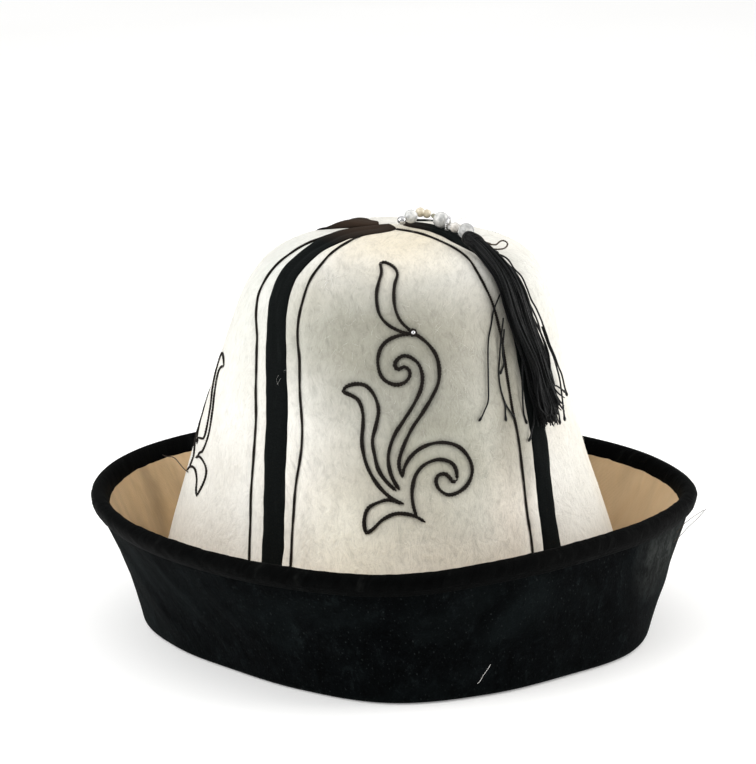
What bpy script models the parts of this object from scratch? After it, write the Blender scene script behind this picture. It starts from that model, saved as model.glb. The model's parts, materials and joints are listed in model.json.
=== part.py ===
"""Kalpak: a tall four-panel felt hat with a turned-up brim.

The crown is four felt gores that meet at seams, each seam under a flat ribbon.
The brim is a flared wall turned up all round from a fold that the hat rests on:
a pile cover outside, a cloth lining inside, and a rolled binding on the rim.
A short string of beads runs from the apex to a tassel that lies on the right.

Axes: +Z up, -Y the front of the hat, +X its right as seen from the front.
Origin: the middle of the bounding box, on the plane the fold rests on.
Tables are in millimetres and degrees; azimuth 0 is +X and -90 is the front.
"""
import math

import bmesh
import bpy
from mathutils import Matrix, Vector

MM = 0.001

# ---------------------------------------------------------------- sizes, mm
FELT = 3.0            # wall of the crown
COVER = 2.6           # outer skin of the brim, pile and its backing
LINING = 1.4          # cloth inside the brim
GAP = 0.35            # between neighbouring pieces
SEAM_GAP = 0.30       # between neighbouring gores
FOLD_ROUND = 4.0      # rounding of the bottom fold
UNDERTURN = 8.3       # width of the cover turned under the crown, from the fold inwards
FOOT = 5.0            # from the fold's outside to the crown's outside, at its foot
BAND_HEIGHT = 9.0     # rolled binding, along the wall
BAND_THICK = 6.6      # rolled binding, across the wall
RIBBON_WIDTHS = (12.2, 9.8, 11.0, 11.0)     # in the order of SEAM_NAMES
RIBBON_ENDS = (5.0, 5.0, 5.0, 15.0)          # from the apex, in the same order
RIBBON_THICK = 0.7
RIBBON_LIFT = 0.55    # underside of a ribbon over the felt
RING_COLUMNS = 56     # facets round the brim
GORE_COLUMNS = 8      # facets across a gore

# plan of the brim, one row for each direction
BRIM = [
    # azimuth, fold radius, rim radius, rim height, hollow of the wall
    (-180.0, 104.2, 124.8, 58.4, 2.0),
    (-157.5,  96.4, 121.0, 58.0, 1.6),
    (-135.0,  91.4, 118.5, 57.8, 1.2),
    (-112.5,  96.0, 121.0, 57.8, 0.8),
    (-90.0,  104.6, 124.5, 58.0, 0.4),
    (-67.5,  102.2, 117.8, 59.7, 0.2),
    (-45.0,  101.6, 115.5, 60.6, 0.0),
    (-22.5,  109.2, 120.0, 60.0, 0.0),
    (0.0,    108.8, 127.9, 58.8, 0.2),
    (22.5,   104.5, 125.2, 58.8, 0.6),
    (45.0,   100.5, 120.5, 58.6, 0.8),
    (67.5,   100.0, 121.0, 58.3, 0.8),
    (90.0,   102.0, 122.5, 58.2, 0.8),
    (112.5,  100.5, 123.0, 58.3, 1.2),
    (135.0,  100.5, 124.8, 58.6, 1.6),
    (157.5,  103.3, 126.2, 58.8, 2.0),
]

# outline of the crown up the middle of a gore, from the foot to the apex
CROWN = [
    # height, radius, share of the fold's plan, puff over the seams, lean to the right
    (3.6,    96.3, 1.00, 0.0, -1.0),
    (20.0,   93.8, 0.95, 0.3, -1.0),
    (40.0,   89.6, 0.80, 0.8, -0.8),
    (58.0,   85.1, 0.65, 1.1, -0.8),
    (75.0,   80.5, 0.52, 1.3, -0.8),
    (92.0,   76.2, 0.40, 1.4, -0.6),
    (114.0,  71.0, 0.30, 1.6, -0.2),
    (135.0,  65.4, 0.22, 2.0,  1.0),
    (146.0,  61.8, 0.18, 2.4,  2.0),
    (152.5,  58.6, 0.14, 2.7,  3.0),
    (157.2,  55.0, 0.12, 2.9,  3.6),
    (161.0,  50.2, 0.10, 3.0,  4.0),
    (164.8,  42.6, 0.08, 2.9,  4.0),
    (168.0,  32.0, 0.06, 2.3,  3.2),
    (170.2,  19.5, 0.04, 1.3,  1.6),
    (171.0,   8.0, 0.02, 0.4,  0.3),
    (171.3,   1.8, 0.00, 0.0,  0.0),
]

# the four seams, by distance up the crown's outline
SEAMS = [
    # distance, front left, front right, back right, back left
    (0.0,   -123.0, -43.0, 57.0, 137.0),
    (45.0,  -125.0, -41.2, 57.0, 137.0),
    (70.0,  -126.5, -39.2, 57.0, 137.0),
    (90.0,  -129.0, -37.2, 57.0, 137.0),
    (110.0, -131.4, -36.6, 57.0, 137.0),
    (135.0, -138.3, -37.6, 57.0, 137.0),
    (155.0, -146.2, -37.0, 56.5, 138.5),
    (175.0, -151.8, -33.0, 55.5, 142.0),
    (187.0, -153.4, -29.2, 54.5, 155.0),
    (195.0, -151.4, -21.8, 54.0, 166.0),
    (203.0, -135.5, -12.0, 54.0, 177.0),
    (209.0, -114.0,  -8.0, 54.0, 190.0),
    (216.0, -100.0,  -8.0, 54.0, 196.0),
]
SEAM_NAMES = ("front_left", "front_right", "back_right", "back_left")
GORE_NAMES = ("gore_front", "gore_right", "gore_back", "gore_left")

# beads on the string, which starts in front of the apex
BEADS = [
    # name, azimuth, distance from the apex, radius, half length (0 for a ball), lift over the felt
    ("bead_silver",      -68.5, 10.9, 1.8, 0.0, 2.0),
    ("bead_white_small", -42.0, 10.2, 2.8, 0.0, 2.0),
    ("bead_ivory",        -6.0, 13.9, 1.8, 0.0, 4.1),
    ("bead_white",       -18.0, 18.9, 3.3, 0.0, 1.7),
    ("bead_spacer",      -21.5, 23.0, 2.8, 0.7, 2.3),
    ("bead_pearl",       -24.5, 26.2, 2.1, 0.0, 2.6),
    ("bead_clear",       -29.5, 30.4, 3.3, 0.0, 1.8),
]

# the tassel on the crown's right side: skirt sections from the neck down
TASSEL_HEAD_AT = (-41.5, 179.2)       # azimuth, distance up the outline
TASSEL_HEAD = (5.4, 3.3, 3.1)         # half length, half width, half thickness
TASSEL_SKIRT = [
    # distance up the outline, azimuth, half width, half thickness, lift over the felt
    (172.0, -43.2,  2.4, 2.2, 2.2),
    (166.0, -44.0,  3.6, 2.7, 1.7),
    (158.0, -43.5,  4.9, 3.1, 1.5),
    (148.0, -42.2,  6.1, 3.4, 1.4),
    (137.0, -40.5,  7.2, 3.5, 1.4),
    (124.0, -38.0,  8.2, 3.5, 1.4),
    (112.0, -36.3,  8.8, 3.3, 1.4),
    (101.0, -35.0,  9.0, 2.8, 1.4),
    (94.0,  -34.5,  8.2, 2.0, 1.6),
]
TASSEL_SIDES = 12


# ---------------------------------------------------------------- curves through the tables
def closed_curve(rows, azimuth, column):
    """Smooth closed curve through one column of a table of equal steps."""
    count = len(rows)
    place = ((azimuth - rows[0][0]) % 360.0) / (360.0 / count)
    i = int(place) % count
    f = place - int(place)
    a, b, c, d = (rows[(i + k) % count][column] for k in (-1, 0, 1, 2))
    return 0.5 * (2 * b + (c - a) * f + (2 * a - 5 * b + 4 * c - d) * f ** 2
                  + (3 * b - a - 3 * c + d) * f ** 3)


def open_curve(knots, rows, where, column):
    """Smooth curve through one column of a table, whose rows stand at knots."""
    last = len(knots) - 1
    where = min(max(where, knots[0]), knots[last])
    i = 0
    while i < last - 1 and where > knots[i + 1]:
        i += 1
    h = knots[i + 1] - knots[i]
    f = (where - knots[i]) / h
    p, q = rows[i][column], rows[i + 1][column]
    m = (q - rows[i - 1][column]) / (knots[i + 1] - knots[i - 1]) if i else (q - p) / h
    n = (rows[i + 2][column] - p) / (knots[i + 2] - knots[i]) if i + 2 <= last else (q - p) / h
    return ((2 * f ** 3 - 3 * f ** 2 + 1) * p + (f ** 3 - 2 * f ** 2 + f) * h * m
            + (3 * f ** 2 - 2 * f ** 3) * q + (f ** 3 - f ** 2) * h * n)


def distances(rows):
    """Distance along the outline in a table's first two columns, at each row."""
    out = [0.0]
    for p, q in zip(rows, rows[1:]):
        out.append(out[-1] + math.hypot(p[0] - q[0], p[1] - q[1]))
    return out


CROWN_KNOTS = distances(CROWN)
CROWN_LENGTH = CROWN_KNOTS[-1]
SEAM_KNOTS = [row[0] for row in SEAMS]
MEAN_FOOT = sum(row[1] for row in BRIM) / len(BRIM) - FOOT
# rows of facets up a gore and its ribbons: the table's rows, halved on the long steps
GORE_ROWS = sorted(CROWN_KNOTS + [(p + q) / 2 for p, q in zip(CROWN_KNOTS, CROWN_KNOTS[1:])
                                  if q - p > 21.0])


def seam_azimuth(seam, up):
    return open_curve(SEAM_KNOTS, SEAMS, up, seam + 1)


def crown_point(azimuth, up):
    """Outside of the crown at an azimuth, at a distance up the outline."""
    up = min(max(up, 0.0), CROWN_LENGTH)
    height, radius, share, puff, lean = (open_curve(CROWN_KNOTS, CROWN, up, c) for c in range(5))
    seams = [seam_azimuth(k, up) % 360.0 for k in range(4)]
    across = 0.0
    for k in range(4):
        span = (seams[(k + 1) % 4] - seams[k]) % 360.0
        offset = (azimuth - seams[k]) % 360.0
        if offset <= span:
            across = abs(2 * offset / span - 1)
            break
    sink = puff * across ** 2.4
    radius *= 1 + share * (closed_curve(BRIM, azimuth, 1) - FOOT - MEAN_FOOT) / MEAN_FOOT
    rise = [open_curve(CROWN_KNOTS, CROWN, up + step, 0) for step in (-0.5, 0.5)]
    run = [open_curve(CROWN_KNOTS, CROWN, up + step, 1) for step in (-0.5, 0.5)]
    dz, dr = rise[1] - rise[0], run[1] - run[0]
    size = math.hypot(dz, dr)
    radius -= sink * dz / size
    height += sink * dr / size
    a = math.radians(azimuth)
    return Vector((radius * math.cos(a) + lean, radius * math.sin(a), height))


def crown_frame(azimuth, up):
    """Point on the crown, with its outward normal, its downhill direction and the third."""
    p = crown_point(azimuth, up)
    side = crown_point(azimuth + 0.6, up) - crown_point(azimuth - 0.6, up)
    down = crown_point(azimuth, up - 0.8) - crown_point(azimuth, up + 0.8)
    normal = down.cross(side)
    if normal.dot(p - Vector((0.0, 0.0, 60.0))) < 0:
        normal.negate()
    normal.normalize()
    down.normalize()
    return p, normal, down, normal.cross(down).normalized()


def wall_point(azimuth, share, depth=0.0):
    """Brim wall: share 0 at the top of the fold's rounding, 1 at the rim; depth inwards."""
    fold, rim, top, hollow = (closed_curve(BRIM, azimuth, c) for c in (1, 2, 3, 4))
    r = fold + (rim - fold) * share - 4 * hollow * share * (1 - share)
    z = FOLD_ROUND * 0.8 + (top - FOLD_ROUND * 0.8) * share
    dr = (rim - fold) - 4 * hollow * (1 - 2 * share)
    dz = top - FOLD_ROUND * 0.8
    size = math.hypot(dr, dz)
    r -= depth * dz / size
    z += depth * dr / size
    a = math.radians(azimuth)
    return Vector((r * math.cos(a), r * math.sin(a), z))


# ---------------------------------------------------------------- making objects
for old in list(bpy.data.objects):
    bpy.data.objects.remove(old, do_unlink=True)

hat = bpy.data.collections.new("kalpak")
bpy.context.scene.collection.children.link(hat)
root = bpy.data.objects.new("kalpak_root", None)
hat.objects.link(root)


def material(name, colour, roughness, metallic=0.0):
    mat = bpy.data.materials.new(name)
    mat.use_nodes = True
    shader = mat.node_tree.nodes["Principled BSDF"]
    shader.inputs["Base Color"].default_value = (*colour, 1.0)
    shader.inputs["Roughness"].default_value = roughness
    shader.inputs["Metallic"].default_value = metallic
    return mat


FELT_WHITE = material("felt_white", (0.78, 0.75, 0.69), 0.95)
RIBBON_BLACK = material("ribbon_black", (0.012, 0.011, 0.012), 0.75)
PILE_BLACK = material("pile_black", (0.010, 0.012, 0.013), 0.9)
CLOTH_BEIGE = material("cloth_beige", (0.52, 0.40, 0.27), 0.7)
BINDING_BLACK = material("binding_black", (0.010, 0.010, 0.011), 0.8)
SILVER = material("bead_silver", (0.55, 0.55, 0.56), 0.3, 0.8)
PEARL = material("bead_pearl", (0.85, 0.82, 0.76), 0.25)
CLEAR = material("bead_clear", (0.80, 0.82, 0.84), 0.1)
THREAD_BLACK = material("tassel_black", (0.012, 0.012, 0.013), 0.45)


def add(name, bm, mat, smooth=40.0):
    """Turn a bmesh in millimetres into an object of the hat."""
    bmesh.ops.scale(bm, vec=(MM, MM, MM), verts=bm.verts)
    mesh = bpy.data.meshes.new(name)
    bm.to_mesh(mesh)
    bm.free()
    mesh.shade_smooth()
    mesh.set_sharp_from_angle(angle=math.radians(smooth))
    mesh.materials.append(mat)
    obj = bpy.data.objects.new(name, mesh)
    hat.objects.link(obj)
    obj.parent = root
    return obj


def sheet(columns, rows, place, wrap_columns=False, wrap_rows=False, inside=(0.0, 0.0, 60.0)):
    """A grid laid on place(column, row), its normals facing away from the point inside."""
    bm = bmesh.new()
    bmesh.ops.create_grid(bm, x_segments=columns, y_segments=rows, size=1.0)
    for v in bm.verts:
        column = round((v.co.x + 1) / 2 * columns)
        row = round((v.co.y + 1) / 2 * rows)
        v.co = place(column % columns if wrap_columns else column,
                     row % rows if wrap_rows else row)
    if wrap_columns or wrap_rows:
        bmesh.ops.remove_doubles(bm, verts=bm.verts, dist=0.001)
    bm.normal_update()
    centre = Vector(inside)
    facing = sum(f.normal.dot(f.calc_center_median() - centre) * f.calc_area() for f in bm.faces)
    if facing < 0:
        bmesh.ops.reverse_faces(bm, faces=bm.faces)
    return bm


def thicken(obj, thickness):
    """Give a sheet its thickness, towards its inner side."""
    mod = obj.modifiers.new("thickness", "SOLIDIFY")
    mod.thickness = thickness * MM
    mod.offset = -1.0
    mod.use_even_offset = True
    mod.use_quality_normals = True
    return obj


def close_body(bm):
    """Cap the open ends of a tube and turn its faces outwards."""
    bmesh.ops.holes_fill(bm, edges=[e for e in bm.edges if e.is_boundary])
    bmesh.ops.triangulate(bm, faces=[f for f in bm.faces if len(f.verts) > 4])
    bmesh.ops.recalc_face_normals(bm, faces=bm.faces)
    return bm


# ---------------------------------------------------------------- crown
def gore(index):
    """One felt panel: its outer and inner faces, bridged round the edge."""
    left, right = index, (index + 1) % 4

    def azimuth_of(column, up):
        radius = max(open_curve(CROWN_KNOTS, CROWN, up, 1), 1.0)
        clear = math.degrees(SEAM_GAP / 2 / radius)
        span = (seam_azimuth(right, up) - seam_azimuth(left, up)) % 360.0 - 2 * clear
        return seam_azimuth(left, up) + clear + span * column / GORE_COLUMNS

    def outer(column, row):
        return crown_point(azimuth_of(column, GORE_ROWS[row]), GORE_ROWS[row])

    def inner(column, row):
        p, normal, down, side = crown_frame(azimuth_of(column, GORE_ROWS[row]), GORE_ROWS[row])
        return p - normal * FELT

    bm = sheet(GORE_COLUMNS, len(GORE_ROWS) - 1, outer)
    lined = sheet(GORE_COLUMNS, len(GORE_ROWS) - 1, inner)
    bmesh.ops.reverse_faces(lined, faces=lined.faces)
    joined = bpy.data.meshes.new("inner_face")
    lined.to_mesh(joined)
    lined.free()
    bm.from_mesh(joined)
    bpy.data.meshes.remove(joined)
    bmesh.ops.bridge_loops(bm, edges=[e for e in bm.edges if e.is_boundary])
    bmesh.ops.recalc_face_normals(bm, faces=bm.faces)
    return add(GORE_NAMES[index], bm, FELT_WHITE)


for number in range(4):
    gore(number)

# ---------------------------------------------------------------- seam ribbons
def ribbon(seam):
    rows = [up for up in GORE_ROWS if 8.0 < up < CROWN_LENGTH - RIBBON_ENDS[seam]]

    def place(column, row):
        up = rows[row]
        azimuth = seam_azimuth(seam, up)
        p, normal, down, side = crown_frame(azimuth, up)
        radius = open_curve(CROWN_KNOTS, CROWN, up, 1)
        half = min(RIBBON_WIDTHS[seam] / 2, radius * 0.52)
        lean = math.degrees(half / radius)
        edge = crown_point(azimuth + lean * (column - 1), up)
        return edge + normal * (RIBBON_LIFT + RIBBON_THICK)

    bm = sheet(2, len(rows) - 1, place)
    return thicken(add("ribbon_" + SEAM_NAMES[seam], bm, RIBBON_BLACK), RIBBON_THICK)


for number in range(4):
    ribbon(number)

# ---------------------------------------------------------------- brim
WALL_TOP = 1.0 - (BAND_HEIGHT + GAP) / 60.0     # where cover and lining end, under the binding


def cover_place(column, row):
    """Cover: from its inner edge under the crown, out to the fold and up the wall."""
    azimuth = 360.0 * column / RING_COLUMNS
    fold = closed_curve(BRIM, azimuth, 1)
    foot_profile = [(-UNDERTURN, 0.0), (-FOLD_ROUND, 0.0), (-FOLD_ROUND * 0.34, FOLD_ROUND * 0.2)]
    a = math.radians(azimuth)
    if row < len(foot_profile):
        r, z = fold + foot_profile[row][0], foot_profile[row][1]
        return Vector((r * math.cos(a), r * math.sin(a), z))
    return wall_point(azimuth, WALL_TOP * (row - len(foot_profile)) / 4.0)


thicken(add("brim_cover", sheet(RING_COLUMNS, 7, cover_place, wrap_columns=True), PILE_BLACK), COVER)


def lining_place(column, row):
    share = 0.030 + (WALL_TOP - 0.030) * row / 4.0
    return wall_point(360.0 * column / RING_COLUMNS, share, COVER + GAP)


thicken(add("brim_lining", sheet(RING_COLUMNS, 4, lining_place, wrap_columns=True), CLOTH_BEIGE),
        LINING)


def binding_place(column, row):
    """Rolled binding: a rounded section over the top edges of the cover and the lining."""
    azimuth = 360.0 * column / RING_COLUMNS
    turn = 2 * math.pi * (row + 0.5) / 10
    squeeze = 0.72
    across = math.copysign(abs(math.cos(turn)) ** squeeze, math.cos(turn)) * BAND_THICK / 2
    along = math.copysign(abs(math.sin(turn)) ** squeeze, math.sin(turn)) * BAND_HEIGHT / 2
    middle = WALL_TOP + (BAND_HEIGHT / 2 + GAP) / 60.0
    share = middle + along / 60.0
    return wall_point(azimuth, share, COVER / 2 + GAP - across)


def ring_body(columns, rows, place):
    bm = sheet(columns, rows, place, wrap_columns=True, wrap_rows=True)
    bmesh.ops.recalc_face_normals(bm, faces=bm.faces)
    return bm


add("rim_binding", ring_body(RING_COLUMNS, 10, binding_place), BINDING_BLACK)


# ---------------------------------------------------------------- beads and tassel
def up_at(radius):
    """Distance up the outline where it comes in to a radius, near the apex."""
    low, high = CROWN_KNOTS[9], CROWN_LENGTH
    for _ in range(40):
        mid = (low + high) / 2
        if open_curve(CROWN_KNOTS, CROWN, mid, 1) > radius:
            low = mid
        else:
            high = mid
    return (low + high) / 2


def turned_frame(normal, down, side, at):
    """Matrix whose X runs downhill, Y across and Z out of the felt."""
    m = Matrix((down, side, normal)).transposed().to_4x4()
    m.translation = at
    return m


for name, azimuth, away, radius, half_length, lift in BEADS:
    p, normal, down, side = crown_frame(azimuth, up_at(away))
    at = p + normal * (lift + radius)
    bm = bmesh.new()
    if half_length:
        bmesh.ops.create_cone(bm, cap_ends=True, segments=14, radius1=radius, radius2=radius,
                              depth=2 * half_length)
        bmesh.ops.rotate(bm, verts=bm.verts, matrix=Matrix.Rotation(math.pi / 2, 3, "Y"))
        bmesh.ops.bevel(bm, geom=[e for e in bm.edges if e.calc_face_angle(0.0) > 1.0],
                        offset=half_length * 0.6, segments=1, affect="EDGES")
    else:
        bmesh.ops.create_uvsphere(bm, u_segments=12, v_segments=8, radius=radius)
    bmesh.ops.transform(bm, matrix=turned_frame(normal, down, side, at), verts=bm.verts)
    look = SILVER if "silver" in name else CLEAR if "clear" in name else PEARL
    add(name, bm, look)

p, normal, down, side = crown_frame(*TASSEL_HEAD_AT)
bm = bmesh.new()
bmesh.ops.create_uvsphere(bm, u_segments=12, v_segments=8, radius=1.0)
bmesh.ops.scale(bm, vec=TASSEL_HEAD, verts=bm.verts)
bmesh.ops.transform(bm, verts=bm.verts, matrix=turned_frame(
    normal, down, side, p + normal * (TASSEL_HEAD[2] + RIBBON_LIFT + RIBBON_THICK + 0.5)))
add("tassel_head", bm, THREAD_BLACK)


def skirt_place(column, row):
    up, azimuth, width, thick, lift = TASSEL_SKIRT[row]
    p, normal, down, side = crown_frame(azimuth, up)
    turn = 2 * math.pi * column / TASSEL_SIDES
    return p + normal * (lift + thick + thick * math.sin(turn)) + side * (width * math.cos(turn))


skirt = sheet(TASSEL_SIDES, len(TASSEL_SKIRT) - 1, skirt_place, wrap_columns=True)
add("tassel_skirt", close_body(skirt), THREAD_BLACK)

# the origin goes to the middle of the whole box, which the rim's binding sets
rim = [v.co for v in bpy.data.objects["rim_binding"].data.vertices]
MIDDLE = Vector([(max(c[k] for c in rim) + min(c[k] for c in rim)) / 2 for k in range(2)] + [0.0]) / MM
root.location = -MIDDLE * MM
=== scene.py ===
import json
import math

import bpy
import numpy as np
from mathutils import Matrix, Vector

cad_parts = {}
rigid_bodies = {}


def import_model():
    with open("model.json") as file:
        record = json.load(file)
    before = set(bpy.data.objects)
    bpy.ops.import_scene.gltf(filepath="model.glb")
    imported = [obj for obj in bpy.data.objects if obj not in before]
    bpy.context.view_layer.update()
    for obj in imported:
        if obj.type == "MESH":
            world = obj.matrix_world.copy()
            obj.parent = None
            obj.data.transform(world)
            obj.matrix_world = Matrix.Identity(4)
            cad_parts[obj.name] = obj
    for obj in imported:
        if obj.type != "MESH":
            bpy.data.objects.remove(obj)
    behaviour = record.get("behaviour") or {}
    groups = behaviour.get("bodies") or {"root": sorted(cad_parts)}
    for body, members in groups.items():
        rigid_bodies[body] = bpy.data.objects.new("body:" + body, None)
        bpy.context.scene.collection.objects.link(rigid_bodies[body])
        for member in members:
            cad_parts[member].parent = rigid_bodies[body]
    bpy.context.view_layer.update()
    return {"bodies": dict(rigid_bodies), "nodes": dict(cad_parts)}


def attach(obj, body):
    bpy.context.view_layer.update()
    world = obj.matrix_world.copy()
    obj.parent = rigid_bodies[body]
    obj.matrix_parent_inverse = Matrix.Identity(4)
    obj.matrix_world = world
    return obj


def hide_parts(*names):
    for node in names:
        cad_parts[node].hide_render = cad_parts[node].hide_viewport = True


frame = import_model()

MM = 0.001
RNG = np.random.default_rng(11)

# ------------------------------------------------------------------ the form, as the CAD has it
FELT = 3.0
COVER = 2.6
LINING = 1.4
GAP = 0.35
FOLD_ROUND = 4.0
UNDERTURN = 8.3
FOOT = 5.0
BAND_HEIGHT = 9.0
BAND_THICK = 6.6

BRIM = np.array([
    # azimuth, fold radius, rim radius, rim height, hollow of the wall
    (-180.0, 104.2, 124.8, 58.4, 2.0),
    (-157.5,  96.4, 121.0, 58.0, 1.6),
    (-135.0,  91.4, 118.5, 57.8, 1.2),
    (-112.5,  96.0, 121.0, 57.8, 0.8),
    (-90.0,  104.6, 124.5, 58.0, 0.4),
    (-67.5,  102.2, 117.8, 59.7, 0.2),
    (-45.0,  101.6, 115.5, 60.6, 0.0),
    (-22.5,  109.2, 120.0, 60.0, 0.0),
    (0.0,    108.8, 127.9, 58.8, 0.2),
    (22.5,   104.5, 125.2, 58.8, 0.6),
    (45.0,   100.5, 120.5, 58.6, 0.8),
    (67.5,   100.0, 121.0, 58.3, 0.8),
    (90.0,   102.0, 122.5, 58.2, 0.8),
    (112.5,  100.5, 123.0, 58.3, 1.2),
    (135.0,  100.5, 124.8, 58.6, 1.6),
    (157.5,  103.3, 126.2, 58.8, 2.0),
])
CROWN = np.array([
    # height, radius, share of the fold's plan, puff over the seams, lean to the right
    (3.6,    96.3, 1.00, 0.0, -1.0),
    (20.0,   93.8, 0.95, 0.3, -1.0),
    (40.0,   89.6, 0.80, 0.8, -0.8),
    (58.0,   85.1, 0.65, 1.1, -0.8),
    (75.0,   80.5, 0.52, 1.3, -0.8),
    (92.0,   76.2, 0.40, 1.4, -0.6),
    (114.0,  71.0, 0.30, 1.6, -0.2),
    (135.0,  65.4, 0.22, 2.0,  1.0),
    (146.0,  61.8, 0.18, 2.4,  2.0),
    (152.5,  58.6, 0.14, 2.7,  3.0),
    (157.2,  55.0, 0.12, 2.9,  3.6),
    (161.0,  50.2, 0.10, 3.0,  4.0),
    (164.8,  42.6, 0.08, 2.9,  4.0),
    (168.0,  32.0, 0.06, 2.3,  3.2),
    (170.2,  19.5, 0.04, 1.3,  1.6),
    (171.0,   8.0, 0.02, 0.4,  0.3),
    (171.3,   1.8, 0.00, 0.0,  0.0),
])
SEAMS = np.array([
    # distance up, front left, front right, back right, back left
    (0.0,   -123.0, -43.0, 57.0, 137.0),
    (45.0,  -125.0, -41.2, 57.0, 137.0),
    (70.0,  -126.5, -39.2, 57.0, 137.0),
    (90.0,  -129.0, -37.2, 57.0, 137.0),
    (110.0, -131.4, -36.6, 57.0, 137.0),
    (135.0, -138.3, -37.6, 57.0, 137.0),
    (155.0, -146.2, -37.0, 56.5, 138.5),
    (175.0, -151.8, -33.0, 55.5, 142.0),
    (187.0, -153.4, -29.2, 54.5, 155.0),
    (195.0, -151.4, -21.8, 54.0, 166.0),
    (203.0, -135.5, -12.0, 54.0, 177.0),
    (209.0, -114.0,  -8.0, 54.0, 190.0),
    (216.0, -100.0,  -8.0, 54.0, 196.0),
])
SEAM_NAMES = ("front_left", "front_right", "back_right", "back_left")
GORES = ("front", "right", "back", "left")
MIDDLE = np.array([1.7310, -1.0546, 0.0])       # the CAD's origin, from the crown's axis


def closed_curve(azimuth, column):
    rows = BRIM[:, column]
    count = len(rows)
    place = ((np.asarray(azimuth, float) - BRIM[0, 0]) % 360.0) / (360.0 / count)
    i = place.astype(int) % count
    f = place - np.floor(place)
    a, b, c, d = (rows[(i + k) % count] for k in (-1, 0, 1, 2))
    return 0.5 * (2 * b + (c - a) * f + (2 * a - 5 * b + 4 * c - d) * f ** 2
                  + (3 * b - a - 3 * c + d) * f ** 3)


def open_curve(knots, values, where):
    """Smooth curve through values at knots; values may have several columns."""
    knots = np.asarray(knots, float)
    values = np.asarray(values, float)
    flat = values.ndim == 1
    if flat:
        values = values[:, None]
    where = np.clip(np.asarray(where, float), knots[0], knots[-1])
    slope = np.empty_like(values)
    slope[1:-1] = (values[2:] - values[:-2]) / (knots[2:] - knots[:-2])[:, None]
    slope[0] = (values[1] - values[0]) / (knots[1] - knots[0])
    slope[-1] = (values[-1] - values[-2]) / (knots[-1] - knots[-2])
    i = np.clip(np.searchsorted(knots, where, side="left") - 1, 0, len(knots) - 2)
    h = knots[i + 1] - knots[i]
    f = (where - knots[i]) / h
    h, f = h[..., None], f[..., None]
    out = ((2 * f ** 3 - 3 * f ** 2 + 1) * values[i] + (f ** 3 - 2 * f ** 2 + f) * h * slope[i]
           + (3 * f ** 2 - 2 * f ** 3) * values[i + 1] + (f ** 3 - f ** 2) * h * slope[i + 1])
    return out[..., 0] if flat else out


CROWN_KNOTS = np.concatenate([[0.0], np.cumsum(np.hypot(*np.diff(CROWN[:, :2], axis=0).T))])
CROWN_LENGTH = float(CROWN_KNOTS[-1])
MEAN_FOOT = float(BRIM[:, 1].mean()) - FOOT


def seam_azimuth(seam, up):
    return open_curve(SEAMS[:, 0], SEAMS[:, seam + 1], up)


def outline(up):
    return open_curve(CROWN_KNOTS, CROWN, np.clip(up, 0.0, CROWN_LENGTH))


def crown_cad(azimuth, up):
    """Outside of the CAD's crown."""
    azimuth, up = np.broadcast_arrays(np.asarray(azimuth, float),
                                      np.clip(np.asarray(up, float), 0.0, CROWN_LENGTH))
    row = outline(up)
    height, radius, share, puff, lean = (row[..., k] for k in range(5))
    seams = [seam_azimuth(k, up) for k in range(4)]
    across = np.zeros_like(azimuth)
    for k in range(4):
        span = (seams[(k + 1) % 4] - seams[k]) % 360.0
        offset = (azimuth - seams[k]) % 360.0
        across = np.where(offset <= span, np.abs(2 * offset / span - 1), across)
    sink = puff * across ** 2.4
    radius = radius * (1 + share * (closed_curve(azimuth, 1) - FOOT - MEAN_FOOT) / MEAN_FOOT)
    ends = outline(np.clip(up + 0.5, 0, CROWN_LENGTH)) - outline(np.clip(up - 0.5, 0, CROWN_LENGTH))
    dz, dr = ends[..., 0], ends[..., 1]
    size = np.hypot(dz, dr)
    radius = radius - sink * dz / size
    height = height + sink * dr / size
    a = np.radians(azimuth)
    return np.stack([radius * np.cos(a) + lean, radius * np.sin(a), height], -1) - MIDDLE


def unit(v):
    return v / np.maximum(np.linalg.norm(v, axis=-1, keepdims=True), 1e-12)


def directions(surface, azimuth, up):
    """Outward normal, downhill direction and the third, on a surface(azimuth, up)."""
    side = surface(azimuth + 0.5, up) - surface(azimuth - 0.5, up)
    down = surface(azimuth, up - 0.7) - surface(azimuth, up + 0.7)
    normal = unit(np.cross(side, -down))
    away = crown_cad(azimuth, up) - np.array([0.0, 0.0, 60.0])
    normal = np.where((normal * away).sum(-1, keepdims=True) < 0, -normal, normal)
    down = unit(down)
    return normal, down, unit(np.cross(normal, down))


def local_radius(azimuth, up):
    p = crown_cad(azimuth, up) + MIDDLE
    return np.maximum(np.hypot(p[..., 0] - outline(up)[..., 4], p[..., 1]), 0.5)


def gore_middle(gore, up):
    a, b = seam_azimuth(gore, up), seam_azimuth((gore + 1) % 4, up)
    return a + ((b - a) % 360.0) / 2


def on_gore(gore, across, up):
    """Azimuth of the place across mm to the right of a gore's middle line."""
    return gore_middle(gore, up) + np.degrees(across / np.maximum(outline(up)[..., 1], 1.0))


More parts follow.
